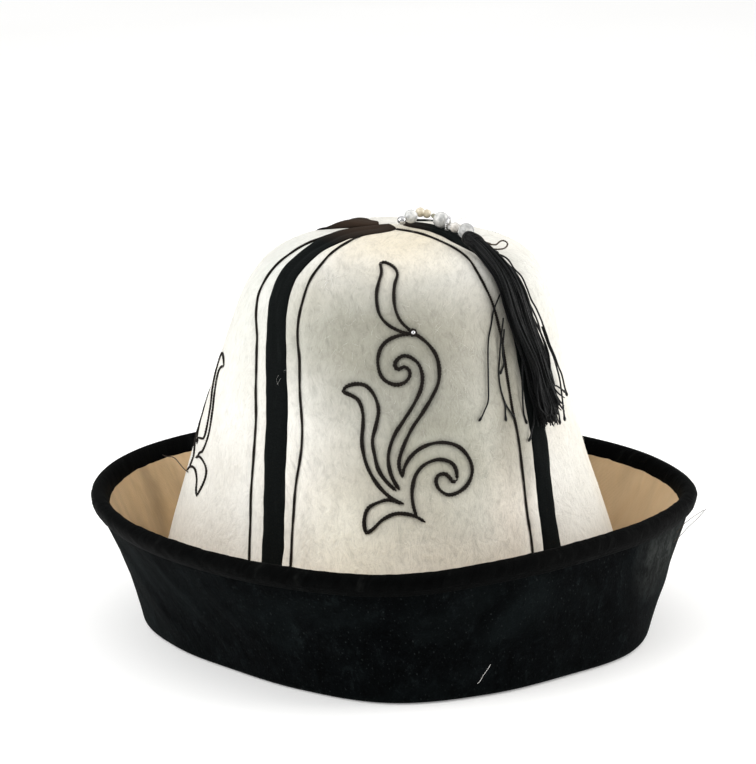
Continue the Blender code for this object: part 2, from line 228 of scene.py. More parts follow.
# ------------------------------------------------------------------ embroidery
# the scroll on a gore: each line's points as (mm right of the middle line, mm up the outline)
SCROLL = {
    "leaf_top_left": [(5.9, 140.0), (3.2, 140.5), (0.2, 141.7), (-3.5, 144.0), (-6.0, 147.4), (-7.1, 152.2), (-7.2, 157.0), (-6.5, 161.4), (-5.7, 166.7), (-6.4, 172.3)],
    "leaf_top_right": [(-6.4, 172.3), (-4.0, 172.6), (-0.6, 169.6), (0.7, 165.8), (-0.1, 160.6), (-0.3, 155.5), (0.3, 150.0), (2.1, 145.2), (4.9, 142.0), (6.7, 140.0)],
    "scroll_outer": [(5.9, 140.0), (7.8, 139.6), (12.2, 135.4), (14.6, 130.6), (14.8, 125.0), (13.4, 120.0), (9.8, 114.6), (5.0, 108.6), (0.1, 102.5), (-3.6, 95.5), (-5.5, 89.4), (-4.5, 83.8)],
    "scroll_inner": [(5.9, 140.0), (1.6, 139.7), (-3.3, 138.1), (-7.1, 134.9), (-9.2, 130.1), (-9.4, 125.5), (-8.0, 122.2), (-4.3, 120.3), (-0.4, 120.9), (2.3, 123.4), (2.5, 125.9), (0.7, 127.2), (-1.7, 126.2), (-2.8, 127.4), (-2.1, 129.5), (0.8, 131.5), (3.8, 131.0), (6.7, 128.2), (7.5, 123.2), (5.9, 118.0), (2.4, 112.6), (-2.4, 106.4), (-6.8, 100.2), (-9.3, 93.1), (-9.2, 87.1), (-7.7, 82.6), (-5.7, 79.1)],
    "leaf_left_upper": [(-25.9, 116.6), (-23.5, 118.8), (-19.1, 120.1), (-15.3, 119.3), (-12.8, 115.6), (-12.0, 110.2), (-13.7, 103.9), (-15.3, 98.4), (-14.8, 93.0), (-13.5, 87.0), (-10.8, 82.6), (-6.9, 78.7)],
    "leaf_left_lower": [(-25.9, 116.6), (-22.2, 115.4), (-19.5, 113.6), (-18.4, 109.1), (-18.8, 103.6), (-19.5, 98.1), (-18.9, 92.0), (-17.1, 86.2), (-13.4, 80.2), (-9.0, 76.0), (-4.2, 73.6)],
    "leaf_foot_upper": [(-4.2, 73.6), (-9.9, 75.2), (-14.6, 73.9), (-18.3, 71.4), (-19.8, 66.6), (-19.3, 61.6)],
    "leaf_foot_lower": [(-19.3, 61.6), (-16.4, 63.7), (-12.7, 67.4), (-7.9, 69.8), (-3.3, 69.7), (0.5, 68.4), (3.9, 66.2)],
    "curl_outer": [(-4.5, 83.8), (-3.4, 87.8), (-1.0, 91.7), (3.0, 94.9), (8.0, 96.6), (13.5, 96.6), (18.9, 94.5), (22.7, 90.3), (24.3, 85.0), (22.6, 80.2), (18.8, 77.1), (13.8, 76.0), (10.1, 78.3), (8.7, 81.6), (9.9, 84.0), (12.5, 84.4), (14.4, 82.8), (15.7, 80.9), (17.5, 81.5)],
    "curl_inner": [(17.5, 81.5), (17.4, 85.1), (15.8, 88.2), (11.8, 90.0), (7.9, 89.9), (3.7, 88.0), (0.8, 84.6), (-0.6, 80.1), (-0.9, 75.5), (-0.1, 70.7), (0.9, 68.4)],
}
# how each gore carries it: gore, mirrored (-1) or not, rows (mm up, shift across, shift up)
SCROLL_PLACES = [
    (0, 1.0, [(60.0, 0.0, 0.0), (170.0, 0.0, 0.0)]),
    (1, -1.0, [(80.0, 23.0, -2.0), (95.0, 23.5, -2.0), (116.0, 17.0, -2.0)]),
    (2, 1.0, [(60.0, 0.0, -1.0), (170.0, 0.0, -1.0)]),
    (3, -1.0, [(55.0, -6.0, -3.2), (73.5, 0.0, -0.4), (86.0, -2.6, -0.6), (100.0, -7.4, -1.0),
               (118.0, -12.3, -2.0), (140.0, -14.0, -2.0), (172.0, -15.0, -2.0)]),
]
# the corded lines beside the ribbons, as rows (mm up, azimuth): the three that the seams' own
# curves don't give, then those that run beside a back seam
LINES = {
    "front_of_left_ribbon": (0, [(4.0, -117.5), (46.9, -118.5), (63.0, -119.0), (79.3, -119.0),
        (95.5, -118.6), (111.4, -121.0), (126.9, -124.2), (134.3, -126.8), (142.4, -129.0),
        (150.5, -130.0), (159.6, -131.5), (170.1, -133.0), (176.1, -134.5), (183.9, -135.5),
        (190.0, -134.2), (196.7, -130.6), (200.0, -127.0), (203.5, -120.0), (206.3, -111.5)]),
    "left_of_left_ribbon": (3, [(4.0, -131.0), (42.5, -134.0), (58.7, -135.5), (74.9, -137.0),
        (91.4, -138.2), (107.3, -140.7), (130.6, -147.5), (139.7, -153.0), (147.1, -157.0),
        (153.9, -159.2), (161.0, -161.0), (169.1, -163.0), (177.2, -165.2), (184.2, -165.0),
        (189.0, -164.0), (192.5, -161.5)]),
    "front_of_right_ribbon": (0, [(4.0, -51.5), (48.6, -48.2), (64.8, -47.5), (81.0, -46.7),
        (97.5, -46.5), (105.6, -46.9), (124.9, -47.5), (134.6, -48.0), (145.4, -48.9),
        (151.0, -50.2), (157.6, -51.7), (165.7, -52.0), (173.1, -50.5), (180.5, -48.8),
        (185.9, -48.5), (190.7, -49.5), (195.4, -51.2), (199.8, -55.0), (203.1, -61.5),
        (206.2, -73.0), (207.6, -83.0)]),
}
BACK_LINES = [
    # name, gore, seam, side of the seam, distance up where it runs in to the ribbon
    ("front_of_back_right", 1, 2, -1, 160.0),
    ("back_of_back_right", 2, 2, 1, 163.0),
    ("back_of_back_left", 2, 3, -1, 163.0),
    ("front_of_back_left", 3, 3, 1, 96.0),
]


def smooth_path(points, step=0.35):
    """A smooth curve through 2D points, at even steps."""
    p = np.asarray(points, float)
    k = np.concatenate([[0.0], np.cumsum(np.sqrt(np.hypot(*np.diff(p, axis=0).T)))])
    fine = open_curve(k, p, np.linspace(0, k[-1], 40 * len(p)))
    return even_steps(fine, step)


def even_steps(p, step):
    s = np.concatenate([[0.0], np.cumsum(np.linalg.norm(np.diff(p, axis=0), axis=1))])
    at = np.linspace(0, s[-1], max(int(round(s[-1] / step)), 2) + 1)
    return np.stack([np.interp(at, s, p[:, k]) for k in range(p.shape[1])], -1)


def step01(x):
    x = np.clip(x, 0.0, 1.0)
    return x * x * (3 - 2 * x)


def line_rows(seam, side, merge):
    """Rows (up, azimuth) of a line beside a back seam, running in to the ribbon near merge."""
    up = np.arange(4.0, merge + 24.0, 6.0)
    offset = 13.2 - 8.2 * step01((up - merge) / 24.0)
    r = np.maximum(outline(up)[..., 1], 1.0)
    return np.stack([up, seam_azimuth(seam, up) + np.degrees(side * offset / r)], -1)


for name, gore, seam, side, merge in BACK_LINES:
    LINES[name] = (gore, line_rows(seam, side, merge))


def line_azimuth(name, up):
    rows = np.asarray(LINES[name][1], float)
    return open_curve(rows[:, 0], rows[:, 1], up)


def placed(path, mirror, rows):
    """The scroll's (across, up) points, mirrored and shifted as a gore carries them."""
    rows = np.asarray(rows, float)
    up = path[:, 1]
    across = mirror * path[:, 0]
    if len(rows) > 3:             # the left gore: its stem lies farther round than the leaf
        across = across - 13.0 * step01((up - 73.0) / 15.0) * step01((11.5 - across) / 2.2)
    return np.stack([across + np.interp(up, rows[:, 0], rows[:, 1]),
                     up + np.interp(up, rows[:, 0], rows[:, 2])], -1)


SCROLL_PATHS = {name: smooth_path(points) for name, points in SCROLL.items()}


def gore_channel(gore, azimuth, up):
    """Depth in mm that the stitching pulls the felt in, and how far it puffs beside it."""
    r = np.maximum(outline(up)[..., 1], 1.0)
    pull = np.zeros_like(r)
    for name, (owner, rows) in LINES.items():
        if owner != gore:
            continue
        end = np.asarray(rows)[-1][0]
        d = np.radians((azimuth - line_azimuth(name, up) + 180) % 360 - 180) * r
        here = step01((end + 1.0 - up) / 3.0)
        pull -= 0.32 * here * np.exp(-(d / 1.1) ** 2)
        pull += 0.50 * here * (np.exp(-((d - 4.6) / 3.0) ** 2) + np.exp(-((d + 4.6) / 3.0) ** 2)) * step01((r - 25) / 20)
    for g, mirror, rows in SCROLL_PLACES:
        if g != gore:
            continue
        across = np.radians((azimuth - gore_middle(gore, up) + 180) % 360 - 180) * r
        near = (np.abs(across) < 48) & (up > 52) & (up < 182)
        q = np.stack([across[near], np.broadcast_to(up, across.shape)[near]], -1)
        best = np.full(len(q), 1e9)
        for path in SCROLL_PATHS.values():
            path = placed(path[::2], mirror, rows)
            for part_of in np.array_split(path, max(len(path) // 60, 1)):
                low, high = part_of.min(0) - 5, part_of.max(0) + 5
                inside = ((q > low) & (q < high)).all(1)
                if inside.any():
                    d2 = ((q[inside][:, None, :] - part_of[None]) ** 2).sum(-1).min(1)
                    best[inside] = np.minimum(best[inside], d2)
        pull[near] -= 0.30 * np.exp(-best / 1.3 ** 2)
    return pull


# soft dents and swellings of the crown: azimuth, up, half width, half height, height in mm
DENTS = [
    (-78.0, 132.0, 24.0, 30.0, -1.1),
    (-104.0, 96.0, 20.0, 26.0, 0.8),
    (-60.0, 60.0, 18.0, 22.0, 0.7),
    (-150.0, 92.0, 14.0, 12.0, 1.2),
    (-158.0, 70.0, 16.0, 9.0, -1.3),
    (178.0, 118.0, 26.0, 20.0, -0.8),
    (-20.0, 84.0, 18.0, 30.0, -0.8),
    (8.0, 140.0, 20.0, 22.0, 0.8),
    (20.0, 60.0, 24.0, 24.0, -0.9),
    (88.0, 120.0, 26.0, 34.0, -1.1),
    (104.0, 62.0, 22.0, 20.0, 0.9),
    (66.0, 82.0, 18.0, 22.0, 0.6),
    (-95.0, 30.0, 30.0, 14.0, -0.6),
]


def relief(azimuth, up):
    out = 0.16 * np.sin(np.radians(azimuth) * 7 + up / 16.0) * np.sin(up / 11.0 + 0.8)
    out = out + 0.22 * np.sin(np.radians(azimuth) * 3 - up / 29.0 + 1.3)
    r = outline(up)[..., 1]
    for az, at, wide, high, height in DENTS:
        d = np.radians((azimuth - az + 180) % 360 - 180) * r
        out = out + height * np.exp(-(d / wide) ** 2 - ((up - at) / high) ** 2)
    return (out - 0.25) * step01((CROWN_LENGTH - 4 - up) / 30.0)


def crown(azimuth, up):
    """Outside of the felt, with its dents."""
    azimuth, up = np.broadcast_arrays(np.asarray(azimuth, float), np.asarray(up, float))
    normal, _, _ = directions(crown_cad, azimuth, up)
    return crown_cad(azimuth, up) + normal * relief(azimuth, up)[..., None]


def on_crown(azimuth, up, lift):
    """Points lift mm over the felt, with normal, downhill and sideways directions."""
    azimuth, up = np.broadcast_arrays(np.asarray(azimuth, float), np.asarray(up, float))
    normal, down, side = directions(crown, azimuth, up)
    return crown(azimuth, up) + normal * np.asarray(lift, float)[..., None], normal, down, side


def wall(azimuth, share, depth=0.0):
    """Brim wall: share 0 over the fold's rounding, 1 at the rim; depth inwards."""
    azimuth, share, depth = np.broadcast_arrays(*(np.asarray(x, float)
                                                  for x in (azimuth, share, depth)))
    fold, rim, top, hollow = (closed_curve(azimuth, c) for c in (1, 2, 3, 4))
    base = FOLD_ROUND * 0.8
    r = fold + (rim - fold) * share - 4 * hollow * share * (1 - share)
    z = base + (top - base) * share
    dr = (rim - fold) - 4 * hollow * (1 - 2 * share)
    dz = top - base
    size = np.hypot(dr, dz)
    r = r - depth * dz / size
    z = z + depth * dr / size
    a = np.radians(azimuth)
    return np.stack([r * np.cos(a), r * np.sin(a), z], -1) - MIDDLE


# ------------------------------------------------------------------ meshes
def grid(rows, columns, wrap=False, base=0, flip=False):
    r = np.arange(rows - 1)[:, None]
    c = np.arange(columns if wrap else columns - 1)[None, :]
    n = (c + 1) % columns
    corners = (r * columns + c, r * columns + n, (r + 1) * columns + n, (r + 1) * columns + c)
    q = np.stack(np.broadcast_arrays(*corners), -1).reshape(-1, 4) + base
    return q[:, ::-1] if flip else q


class Soup:
    """Collects geometry in mm and becomes one object."""

    def __init__(self):
        self.verts, self.quads, self.tris, self.uvs, self.count = [], [], [], [], 0

    def add(self, verts, quads=None, tris=None, uv=None):
        verts = np.asarray(verts, float).reshape(-1, 3)
        if quads is not None and len(quads):
            self.quads.append(np.asarray(quads, int) + self.count)
        if tris is not None and len(tris):
            self.tris.append(np.asarray(tris, int) + self.count)
        self.uvs.append(np.zeros((len(verts), 2)) if uv is None
                        else np.asarray(uv, float).reshape(-1, 2))
        self.verts.append(verts)
        self.count += len(verts)
        return self

    def build(self, name, look, slot, replaces=(), outward=True):
        verts = np.concatenate(self.verts)
        quads = np.concatenate(self.quads) if self.quads else np.zeros((0, 4), int)
        tris = np.concatenate(self.tris) if self.tris else np.zeros((0, 3), int)
        if outward and volume(verts, quads, tris) < 0:
            quads, tris = quads[:, ::-1], tris[:, ::-1]
        loops = np.concatenate([quads.ravel(), tris.ravel()])
        starts = np.concatenate([np.arange(len(quads)) * 4,
                                 len(quads) * 4 + np.arange(len(tris)) * 3])
        mesh = bpy.data.meshes.new(name)
        mesh.vertices.add(len(verts))
        mesh.vertices.foreach_set("co", (verts * MM).ravel())
        mesh.loops.add(len(loops))
        mesh.loops.foreach_set("vertex_index", loops.astype(np.int32))
        mesh.polygons.add(len(starts))
        mesh.polygons.foreach_set("loop_start", starts.astype(np.int32))
        mesh.polygons.foreach_set("use_smooth", np.ones(len(starts), bool))
        layer = mesh.uv_layers.new(name="UVMap")
        layer.data.foreach_set("uv", np.concatenate(self.uvs)[loops].ravel())
        mesh.update(calc_edges=True)
        mesh.validate()
        mesh.materials.append(look)
        obj = bpy.data.objects.new(name, mesh)
        bpy.context.scene.collection.objects.link(obj)
        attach(obj, BODY)
        if replaces:
            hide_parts(*replaces)
        return obj


def volume(verts, quads, tris):
    faces = np.concatenate([quads[:, [0, 1, 2]], quads[:, [0, 2, 3]], tris])
    a, b, c = (verts[faces[:, k]] for k in range(3))
    return float((a * np.cross(b, c)).sum())


def shell(outer, inner, wrap=False, uv=None):
    """Outer and inner grids of the same shape (rows, columns, 3), closed round their edges."""
    rows, columns = outer.shape[:2]
    n = rows * columns
    ids = np.arange(n).reshape(rows, columns)
    quads = [grid(rows, columns, wrap), grid(rows, columns, wrap, n, True)]

    def edge(a, b):
        quads.append(np.stack([b, a, a + n, b + n], -1))

    def turned(line):
        return (line, np.roll(line, -1)) if wrap else (line[:-1], line[1:])

    a, b = turned(ids[0])
    edge(a, b)
    a, b = turned(ids[-1])
    edge(b, a)
    if not wrap:
        edge(ids[1:, 0], ids[:-1, 0])
        edge(ids[:-1, -1], ids[1:, -1])
    verts = np.concatenate([outer.reshape(-1, 3), inner.reshape(-1, 3)])
    if uv is not None:
        uv = np.concatenate([uv.reshape(-1, 2)] * 2)
    return verts, np.concatenate(quads), None, uv


def tubes(paths, radius, sides, ref, stretch=None):
    """Closed round tubes along paths (tubes, rings, 3); ref is a direction across each ring."""
    paths = np.asarray(paths, float)
    if paths.ndim == 2:
        paths = paths[None]
    count, rings = paths.shape[:2]
    ref = np.broadcast_to(ref, paths.shape)
    radius = np.broadcast_to(np.asarray(radius, float), (count, rings))[..., None, None]
    along = unit(np.gradient(paths, axis=1))
    e1 = unit(np.cross(along, ref))
    e2 = np.cross(along, e1)
    turn = 2 * math.pi * np.arange(sides) / sides
    ring = (np.cos(turn)[:, None] * e1[:, :, None] + np.sin(turn)[:, None] * e2[:, :, None])
    verts = paths[:, :, None] + radius * ring
    block = rings * sides
    quads = (grid(rings, sides, True)[None] + (np.arange(count) * block)[:, None, None])
    caps = []
    first = count * block
    for end, rows in ((0, 0), (1, rings - 1)):
        centre = first + end * count + np.arange(count)[:, None]
        a = (np.arange(count) * block)[:, None] + rows * sides + np.arange(sides)[None]
        b = (np.arange(count) * block)[:, None] + rows * sides + (np.arange(sides)[None] + 1) % sides
        t = np.stack(np.broadcast_arrays(centre, b, a), -1).reshape(-1, 3)
        caps.append(t if end == 0 else t[:, ::-1])
    tips = paths[:, [0, -1]] + unit(paths[:, [0, -1]] - paths[:, [1, -2]]) * radius[:, [0, -1], 0] * 0.5
    verts = np.concatenate([verts.reshape(-1, 3), tips[:, 0], tips[:, 1]])
    length = np.concatenate([np.zeros((count, 1)),
                             np.cumsum(np.linalg.norm(np.diff(paths, axis=1), axis=2), axis=1)], 1)
    around = np.broadcast_to(np.arange(sides) / sides, (count, rings, sides))
    uv = np.stack([around, np.broadcast_to(length[..., None], around.shape)], -1).reshape(-1, 2)
    uv = np.concatenate([uv, np.zeros((count, 2)), np.stack([np.zeros(count), length[:, -1]], -1)])
    return verts, quads.reshape(-1, 4), np.concatenate(caps), uv


def turned_body(profile, at, axis, ref, sides=28):
    """Solid of revolution: profile rows (along the axis, radius), closed on itself."""
    axis = unit(np.asarray(axis, float))
    e1 = unit(np.cross(axis, ref))
    e2 = np.cross(axis, e1)
    profile = np.asarray(profile, float)
    turn = 2 * math.pi * np.arange(sides) / sides
    around = np.cos(turn)[:, None] * e1 + np.sin(turn)[:, None] * e2
    verts = at + profile[:, None, :1] * axis + profile[:, None, 1:] * around[None]
    rows = len(profile)
    closed = np.concatenate([verts, verts[:1]])
    quads = grid(rows + 1, sides, True) % (rows * sides)
    uv = np.stack(np.broadcast_arrays(np.arange(sides)[None] / sides,
                                      np.arange(rows)[:, None] / rows), -1)
    del closed
    return verts.reshape(-1, 3), quads, None, uv.reshape(-1, 2)


# ------------------------------------------------------------------ materials
class Look:
    """A node material, with short ways to add to it. Lengths are mm."""

    def __init__(self, name, **sockets):
        self.mat = bpy.data.materials.new(name)
        self.mat.use_nodes = True
        self.tree = self.mat.node_tree
        self.shader = self.tree.nodes["Principled BSDF"]
        for key, value in sockets.items():
            self.shader.inputs[key.replace("_", " ")].default_value = value

    def node(self, kind, settings=(), **inputs):
        n = self.tree.nodes.new(kind)
        for key, value in dict(settings).items():
            setattr(n, key, value)
        for key, value in inputs.items():
            self.put(n.inputs[int(key[1:]) if key[0] == "i" and key[1:].isdigit()
                              else key.replace("_", " ")], value)
        return n

    def put(self, socket, value):
        if isinstance(value, bpy.types.NodeSocket):
            self.tree.links.new(value, socket)
        else:
            socket.default_value = value

    def place(self, size=(1.0, 1.0, 1.0), uv=False, turn=0.0):
        """Coordinates in which a step of 1 is size mm, turned before they are stretched."""
        source = self.node("ShaderNodeTexCoord").outputs["UV" if uv else "Object"]
        return self.scaled(source, tuple(x * (1.0 if uv else MM) for x in size), turn)

    def scaled(self, where, size, turn=0.0):
        n = self.node("ShaderNodeMapping", {"vector_type": "TEXTURE"}, Vector=where,
                      Scale=tuple(size), Rotation=(0.0, 0.0, turn))
        return n.outputs["Vector"]

    def bent(self, where, size, amount):
        """The same coordinates, pushed about by a soft noise of that size."""
        soft = self.node("ShaderNodeTexNoise", Vector=self.scaled(where, (size,) * 3), Scale=1.0,
                         Detail=1.5, Roughness=0.5).outputs["Color"]
        n = self.node("ShaderNodeVectorMath", {"operation": "MULTIPLY_ADD"})
        self.put(n.inputs[0], soft)
        self.put(n.inputs[1], (amount,) * 3)
        self.put(n.inputs[2], where)
        return n.outputs["Vector"]

    def spot(self, where, centre, size):
        """0 in the middle of an oval place, 1 from its edge on; sizes in where's own units."""
        n = self.node("ShaderNodeVectorMath", {"operation": "SUBTRACT"})
        self.put(n.inputs[0], where)
        self.put(n.inputs[1], tuple(centre))
        m = self.node("ShaderNodeVectorMath", {"operation": "DIVIDE"})
        self.put(m.inputs[0], n.outputs["Vector"])
        self.put(m.inputs[1], tuple(size))
        k = self.node("ShaderNodeVectorMath", {"operation": "LENGTH"})
        self.put(k.inputs[0], m.outputs["Vector"])
        return k.outputs["Value"]

    def noise(self, where, detail=2.0, rough=0.5, bend=0.0):
        n = self.node("ShaderNodeTexNoise", Vector=where, Scale=1.0, Detail=detail,
                      Roughness=rough, Distortion=bend)
        return n.outputs["Fac"]

    def ramp(self, value, stops):
        n = self.node("ShaderNodeValToRGB", Fac=value)
        n.color_ramp.elements.remove(n.color_ramp.elements[1])
        for k, (at, colour) in enumerate(stops):
            e = n.color_ramp.elements[0] if k == 0 else n.color_ramp.elements.new(at)
            e.position = at
            colour = (colour,) * 3 if isinstance(colour, float) else colour
            e.color = (*colour, 1.0)
        return n.outputs["Color"]

    def mix(self, amount, a, b, how="MIX"):
        n = self.node("ShaderNodeMix", {"data_type": "RGBA", "blend_type": how})
        self.put(n.inputs[0], amount)
        self.put(n.inputs[6], a if not isinstance(a, tuple) else (*a, 1.0))
        self.put(n.inputs[7], b if not isinstance(b, tuple) else (*b, 1.0))
        return n.outputs[2]

    def sums(self, how, a, b):
        n = self.node("ShaderNodeMath", {"operation": how})
        self.put(n.inputs[0], a)
        self.put(n.inputs[1], b)
        return n.outputs[0]

    def bump(self, height, depth, strength=1.0, normal=None):
        n = self.node("ShaderNodeBump", Height=height, Distance=depth * MM, Strength=strength)
        if normal is not None:
            self.put(n.inputs["Normal"], normal)
        return n.outputs["Normal"]

    def set(self, **sockets):
        for key, value in sockets.items():
            self.put(self.shader.inputs[key.replace("_", " ")], value)
        return self.mat


def felt_look(name, warm, spots=()):
    """White pressed felt: matted short fibres, mostly upright, with soft grey and cream patches.

    spots: (across mm, up mm, half width, half height, colour, amount) in the gore's own place.
    """
    look = Look(name, Roughness=0.95, Sheen_Weight=0.10, Sheen_Roughness=0.5,
                Sheen_Tint=(1.0, 0.98, 0.93, 1.0), Specular_IOR_Level=0.10)
    flat = look.node("ShaderNodeTexCoord").outputs["UV"]
    lie = look.bent(flat, 9.0, 7.0)
    right = look.noise(look.scaled(lie, (0.60, 5.2, 1.0), 0.24), 3.0, 0.62)
    left = look.noise(look.scaled(lie, (0.62, 4.4, 1.0), -0.34), 3.0, 0.62)
    where = look.ramp(look.noise(look.place((6.5,) * 3), 1.0), [(0.44, 0.0), (0.56, 1.0)])
    fibres = look.mix(where, right, left)
    clumps = look.noise(look.scaled(look.bent(flat, 14.0, 9.0), (3.4, 6.0, 1.0), 0.1), 4.0, 0.62)
    patches = look.noise(look.place((30.0, 30.0, 38.0)), 3.0, 0.55)
    cream = look.noise(look.place((60.0, 60.0, 42.0)), 2.0, 0.5)
    fine = look.noise(look.place((0.55,) * 3), 3.0, 0.7)
    base = look.ramp(patches, [(0.25, (0.735, 0.715, 0.655)), (0.52, (0.810, 0.795, 0.740)),
                               (0.78, (0.860, 0.852, 0.805))])
    base = look.mix(look.ramp(cream, [(0.45, 0.0), (0.85, warm)]), base, (0.83, 0.75, 0.61))
    for across, up, wide, high, colour, amount in spots:
        place = look.spot(look.bent(flat, 22.0, 16.0), (across + 8.0, up + 8.0, 8.0),
                          (wide, high, 400.0))
        base = look.mix(look.ramp(place, [(0.25, amount), (1.0, 0.0)]), base, colour, "MULTIPLY")
    matted = 0.72 if len(spots) > 2 else 0.42          # the front gore gets the stronger clump darkening
    base = look.mix(matted, base, look.ramp(clumps, [(0.30, 0.74), (0.50, 0.95), (0.66, 1.0)]), "MULTIPLY")
    base = look.mix(0.55, base, look.ramp(fibres, [(0.30, 0.70), (0.50, 0.92), (0.64, 1.0)]), "MULTIPLY")
    base = look.mix(0.30, base, look.ramp(fine, [(0.30, 0.72), (0.62, 1.0)]), "MULTIPLY")
    soft = look.bump(clumps, 0.9, 0.55)
    height = look.sums("ADD", look.sums("MULTIPLY", fibres, 0.55), look.sums("MULTIPLY", fine, 0.5))
    return look.set(Base_Color=base, Normal=look.bump(height, 0.42, 0.8, soft))


def cord_look():
    """Dark brown twisted cord with a dry, slightly lighter nap on the turns."""
    look = Look("stitch_cord", Roughness=0.75, Specular_IOR_Level=0.12, Sheen_Weight=0.05,
                Sheen_Roughness=0.4, Sheen_Tint=(1.0, 0.85, 0.72, 1.0))
    fibres = look.noise(look.place((0.5, 0.28, 1.0), uv=True, turn=0.4), 3.0, 0.7)
    lighter_patch = look.noise(look.place((2.4, 2.4, 2.4)), 3.0, 0.65)
    base = look.ramp(fibres, [(0.30, (0.0035, 0.0028, 0.0022)), (0.60, (0.011, 0.0085, 0.0066)),
                              (0.85, (0.036, 0.028, 0.022))])
    base = look.mix(look.ramp(lighter_patch, [(0.50, 0.0), (0.80, 0.30)]), base, (0.040, 0.030, 0.022))
    return look.set(Base_Color=base, Normal=look.bump(fibres, 0.14, 0.8))


def ribbon_look():
    """Black cut-pile ribbon, its pile lying in short ribs, with grey dust along it."""
    look = Look("ribbon_pile", Roughness=0.85, Specular_IOR_Level=0.03, Sheen_Weight=0.018,
                Sheen_Roughness=0.38, Sheen_Tint=(0.72, 0.90, 0.88, 1.0))
    ribs = look.noise(look.place((5.0, 0.75, 1.0), uv=True), 3.0, 0.6, 0.3)
    nap = look.noise(look.place((0.6, 0.6, 0.6)), 3.0, 0.7)
    dust = look.noise(look.place((3.0, 22.0, 1.0), uv=True), 3.0, 0.6)
    base = look.ramp(nap, [(0.30, (0.0022, 0.0028, 0.0028)), (0.75, (0.0060, 0.0074, 0.0072))])
    base = look.mix(look.ramp(dust, [(0.55, 0.0), (0.88, 0.5)]), base, (0.016, 0.019, 0.018))
    faded = look.spot(look.place((1.0, 1.0, 1.0)), (-12.0, -4.0, 173.0), (30.0, 26.0, 9.0))
    base = look.mix(look.ramp(faded, [(0.15, 0.9), (1.0, 0.0)]), base, (0.042, 0.028, 0.020))
    height = look.sums("ADD", ribs, look.sums("MULTIPLY", nap, 0.7))
    return look.set(Base_Color=base, Normal=look.bump(height, 0.35, 0.8))


def velvet_look():
    """Black velvet, its pile crushed in upright streaks whose lighter colour is partly the pile's own tone, partly
    painted sheen.
    """
    look = Look("brim_velvet", Roughness=0.80, Specular_IOR_Level=0.015, Sheen_Weight=0.009,
                Sheen_Roughness=0.30, Sheen_Tint=(0.62, 0.86, 0.88, 1.0))
    flat = look.node("ShaderNodeTexCoord").outputs["UV"]
    streaks = look.noise(look.scaled(look.bent(flat, 5.0, 2.5), (6.0, 15.0, 1.0), 0.15), 5.0, 0.72)
    crush_and_sheen = look.noise(look.place((46.0, 30.0, 1.0), uv=True), 3.0, 0.55, 0.5)
    nap = look.noise(look.place((0.75, 0.75, 0.75)), 3.0, 0.7)
    rows = look.noise(look.place((0.8, 7.0, 1.0), uv=True), 2.0, 0.6)
    # lighter streaks and crush patches in the colour: partly the pile's own tone, partly painted sheen
    base = look.ramp(streaks, [(0.34, (0.0006, 0.0008, 0.0009)), (0.56, (0.0017, 0.0023, 0.0026)),
                               (0.74, (0.0066, 0.0092, 0.0096))])
    base = look.mix(look.ramp(crush_and_sheen, [(0.52, 0.0), (0.80, 0.6)]), base, (0.0062, 0.0090, 0.0094))
    # a lighter patch low at the right end of the brim, on its streaks: painted sheen
    lighter_patch = look.spot(flat, (667.0, 52.0, 0.0), (26.0, 24.0, 400.0))
    specks = look.noise(look.scaled(flat, (0.9, 1.6, 1.0), 0.3), 1.0, 0.5)
    painted_sheen = look.sums("MULTIPLY", look.ramp(lighter_patch, [(0.05, 0.75), (1.0, 0.0)]),
                       look.ramp(streaks, [(0.42, 0.25), (0.62, 1.0)]))
    base = look.mix(painted_sheen, base, (0.052, 0.056, 0.053))
    base = look.mix(look.ramp(specks, [(0.66, 0.0), (0.76, 0.8)]), base, (0.016, 0.019, 0.019))
    base = look.mix(0.55, base, look.ramp(nap, [(0.28, 0.35), (0.75, 1.6)]), "MULTIPLY")
    height = look.sums("ADD", look.sums("MULTIPLY", nap, 0.8), look.sums("MULTIPLY", rows, 0.5))
    soft = look.bump(streaks, 1.6, 0.45)
    return look.set(Base_Color=base, Normal=look.bump(height, 0.30, 0.8, soft))


def binding_look():
    """The same black pile, drawn tight round the rim, with lighter ridges."""
    look = Look("binding_velvet", Roughness=0.70, Specular_IOR_Level=0.02, Sheen_Weight=0.009,
                Sheen_Roughness=0.32, Sheen_Tint=(0.80, 0.90, 0.90, 1.0))
    pull = look.noise(look.place((6.5, 3.0, 1.0), uv=True, turn=0.7), 3.0, 0.55, 0.6)
    nap = look.noise(look.place((0.7, 0.7, 0.7)), 3.0, 0.7)
    base = look.ramp(pull, [(0.35, (0.0004, 0.0005, 0.0005)), (0.60, (0.0012, 0.0014, 0.0014)),
                            (0.80, (0.0075, 0.0080, 0.0076))])
    base = look.mix(0.5, base, look.ramp(nap, [(0.28, 0.45), (0.75, 1.5)]), "MULTIPLY")
    soft = look.bump(pull, 0.9, 0.5)
    return look.set(Base_Color=base, Normal=look.bump(nap, 0.28, 0.8, soft))


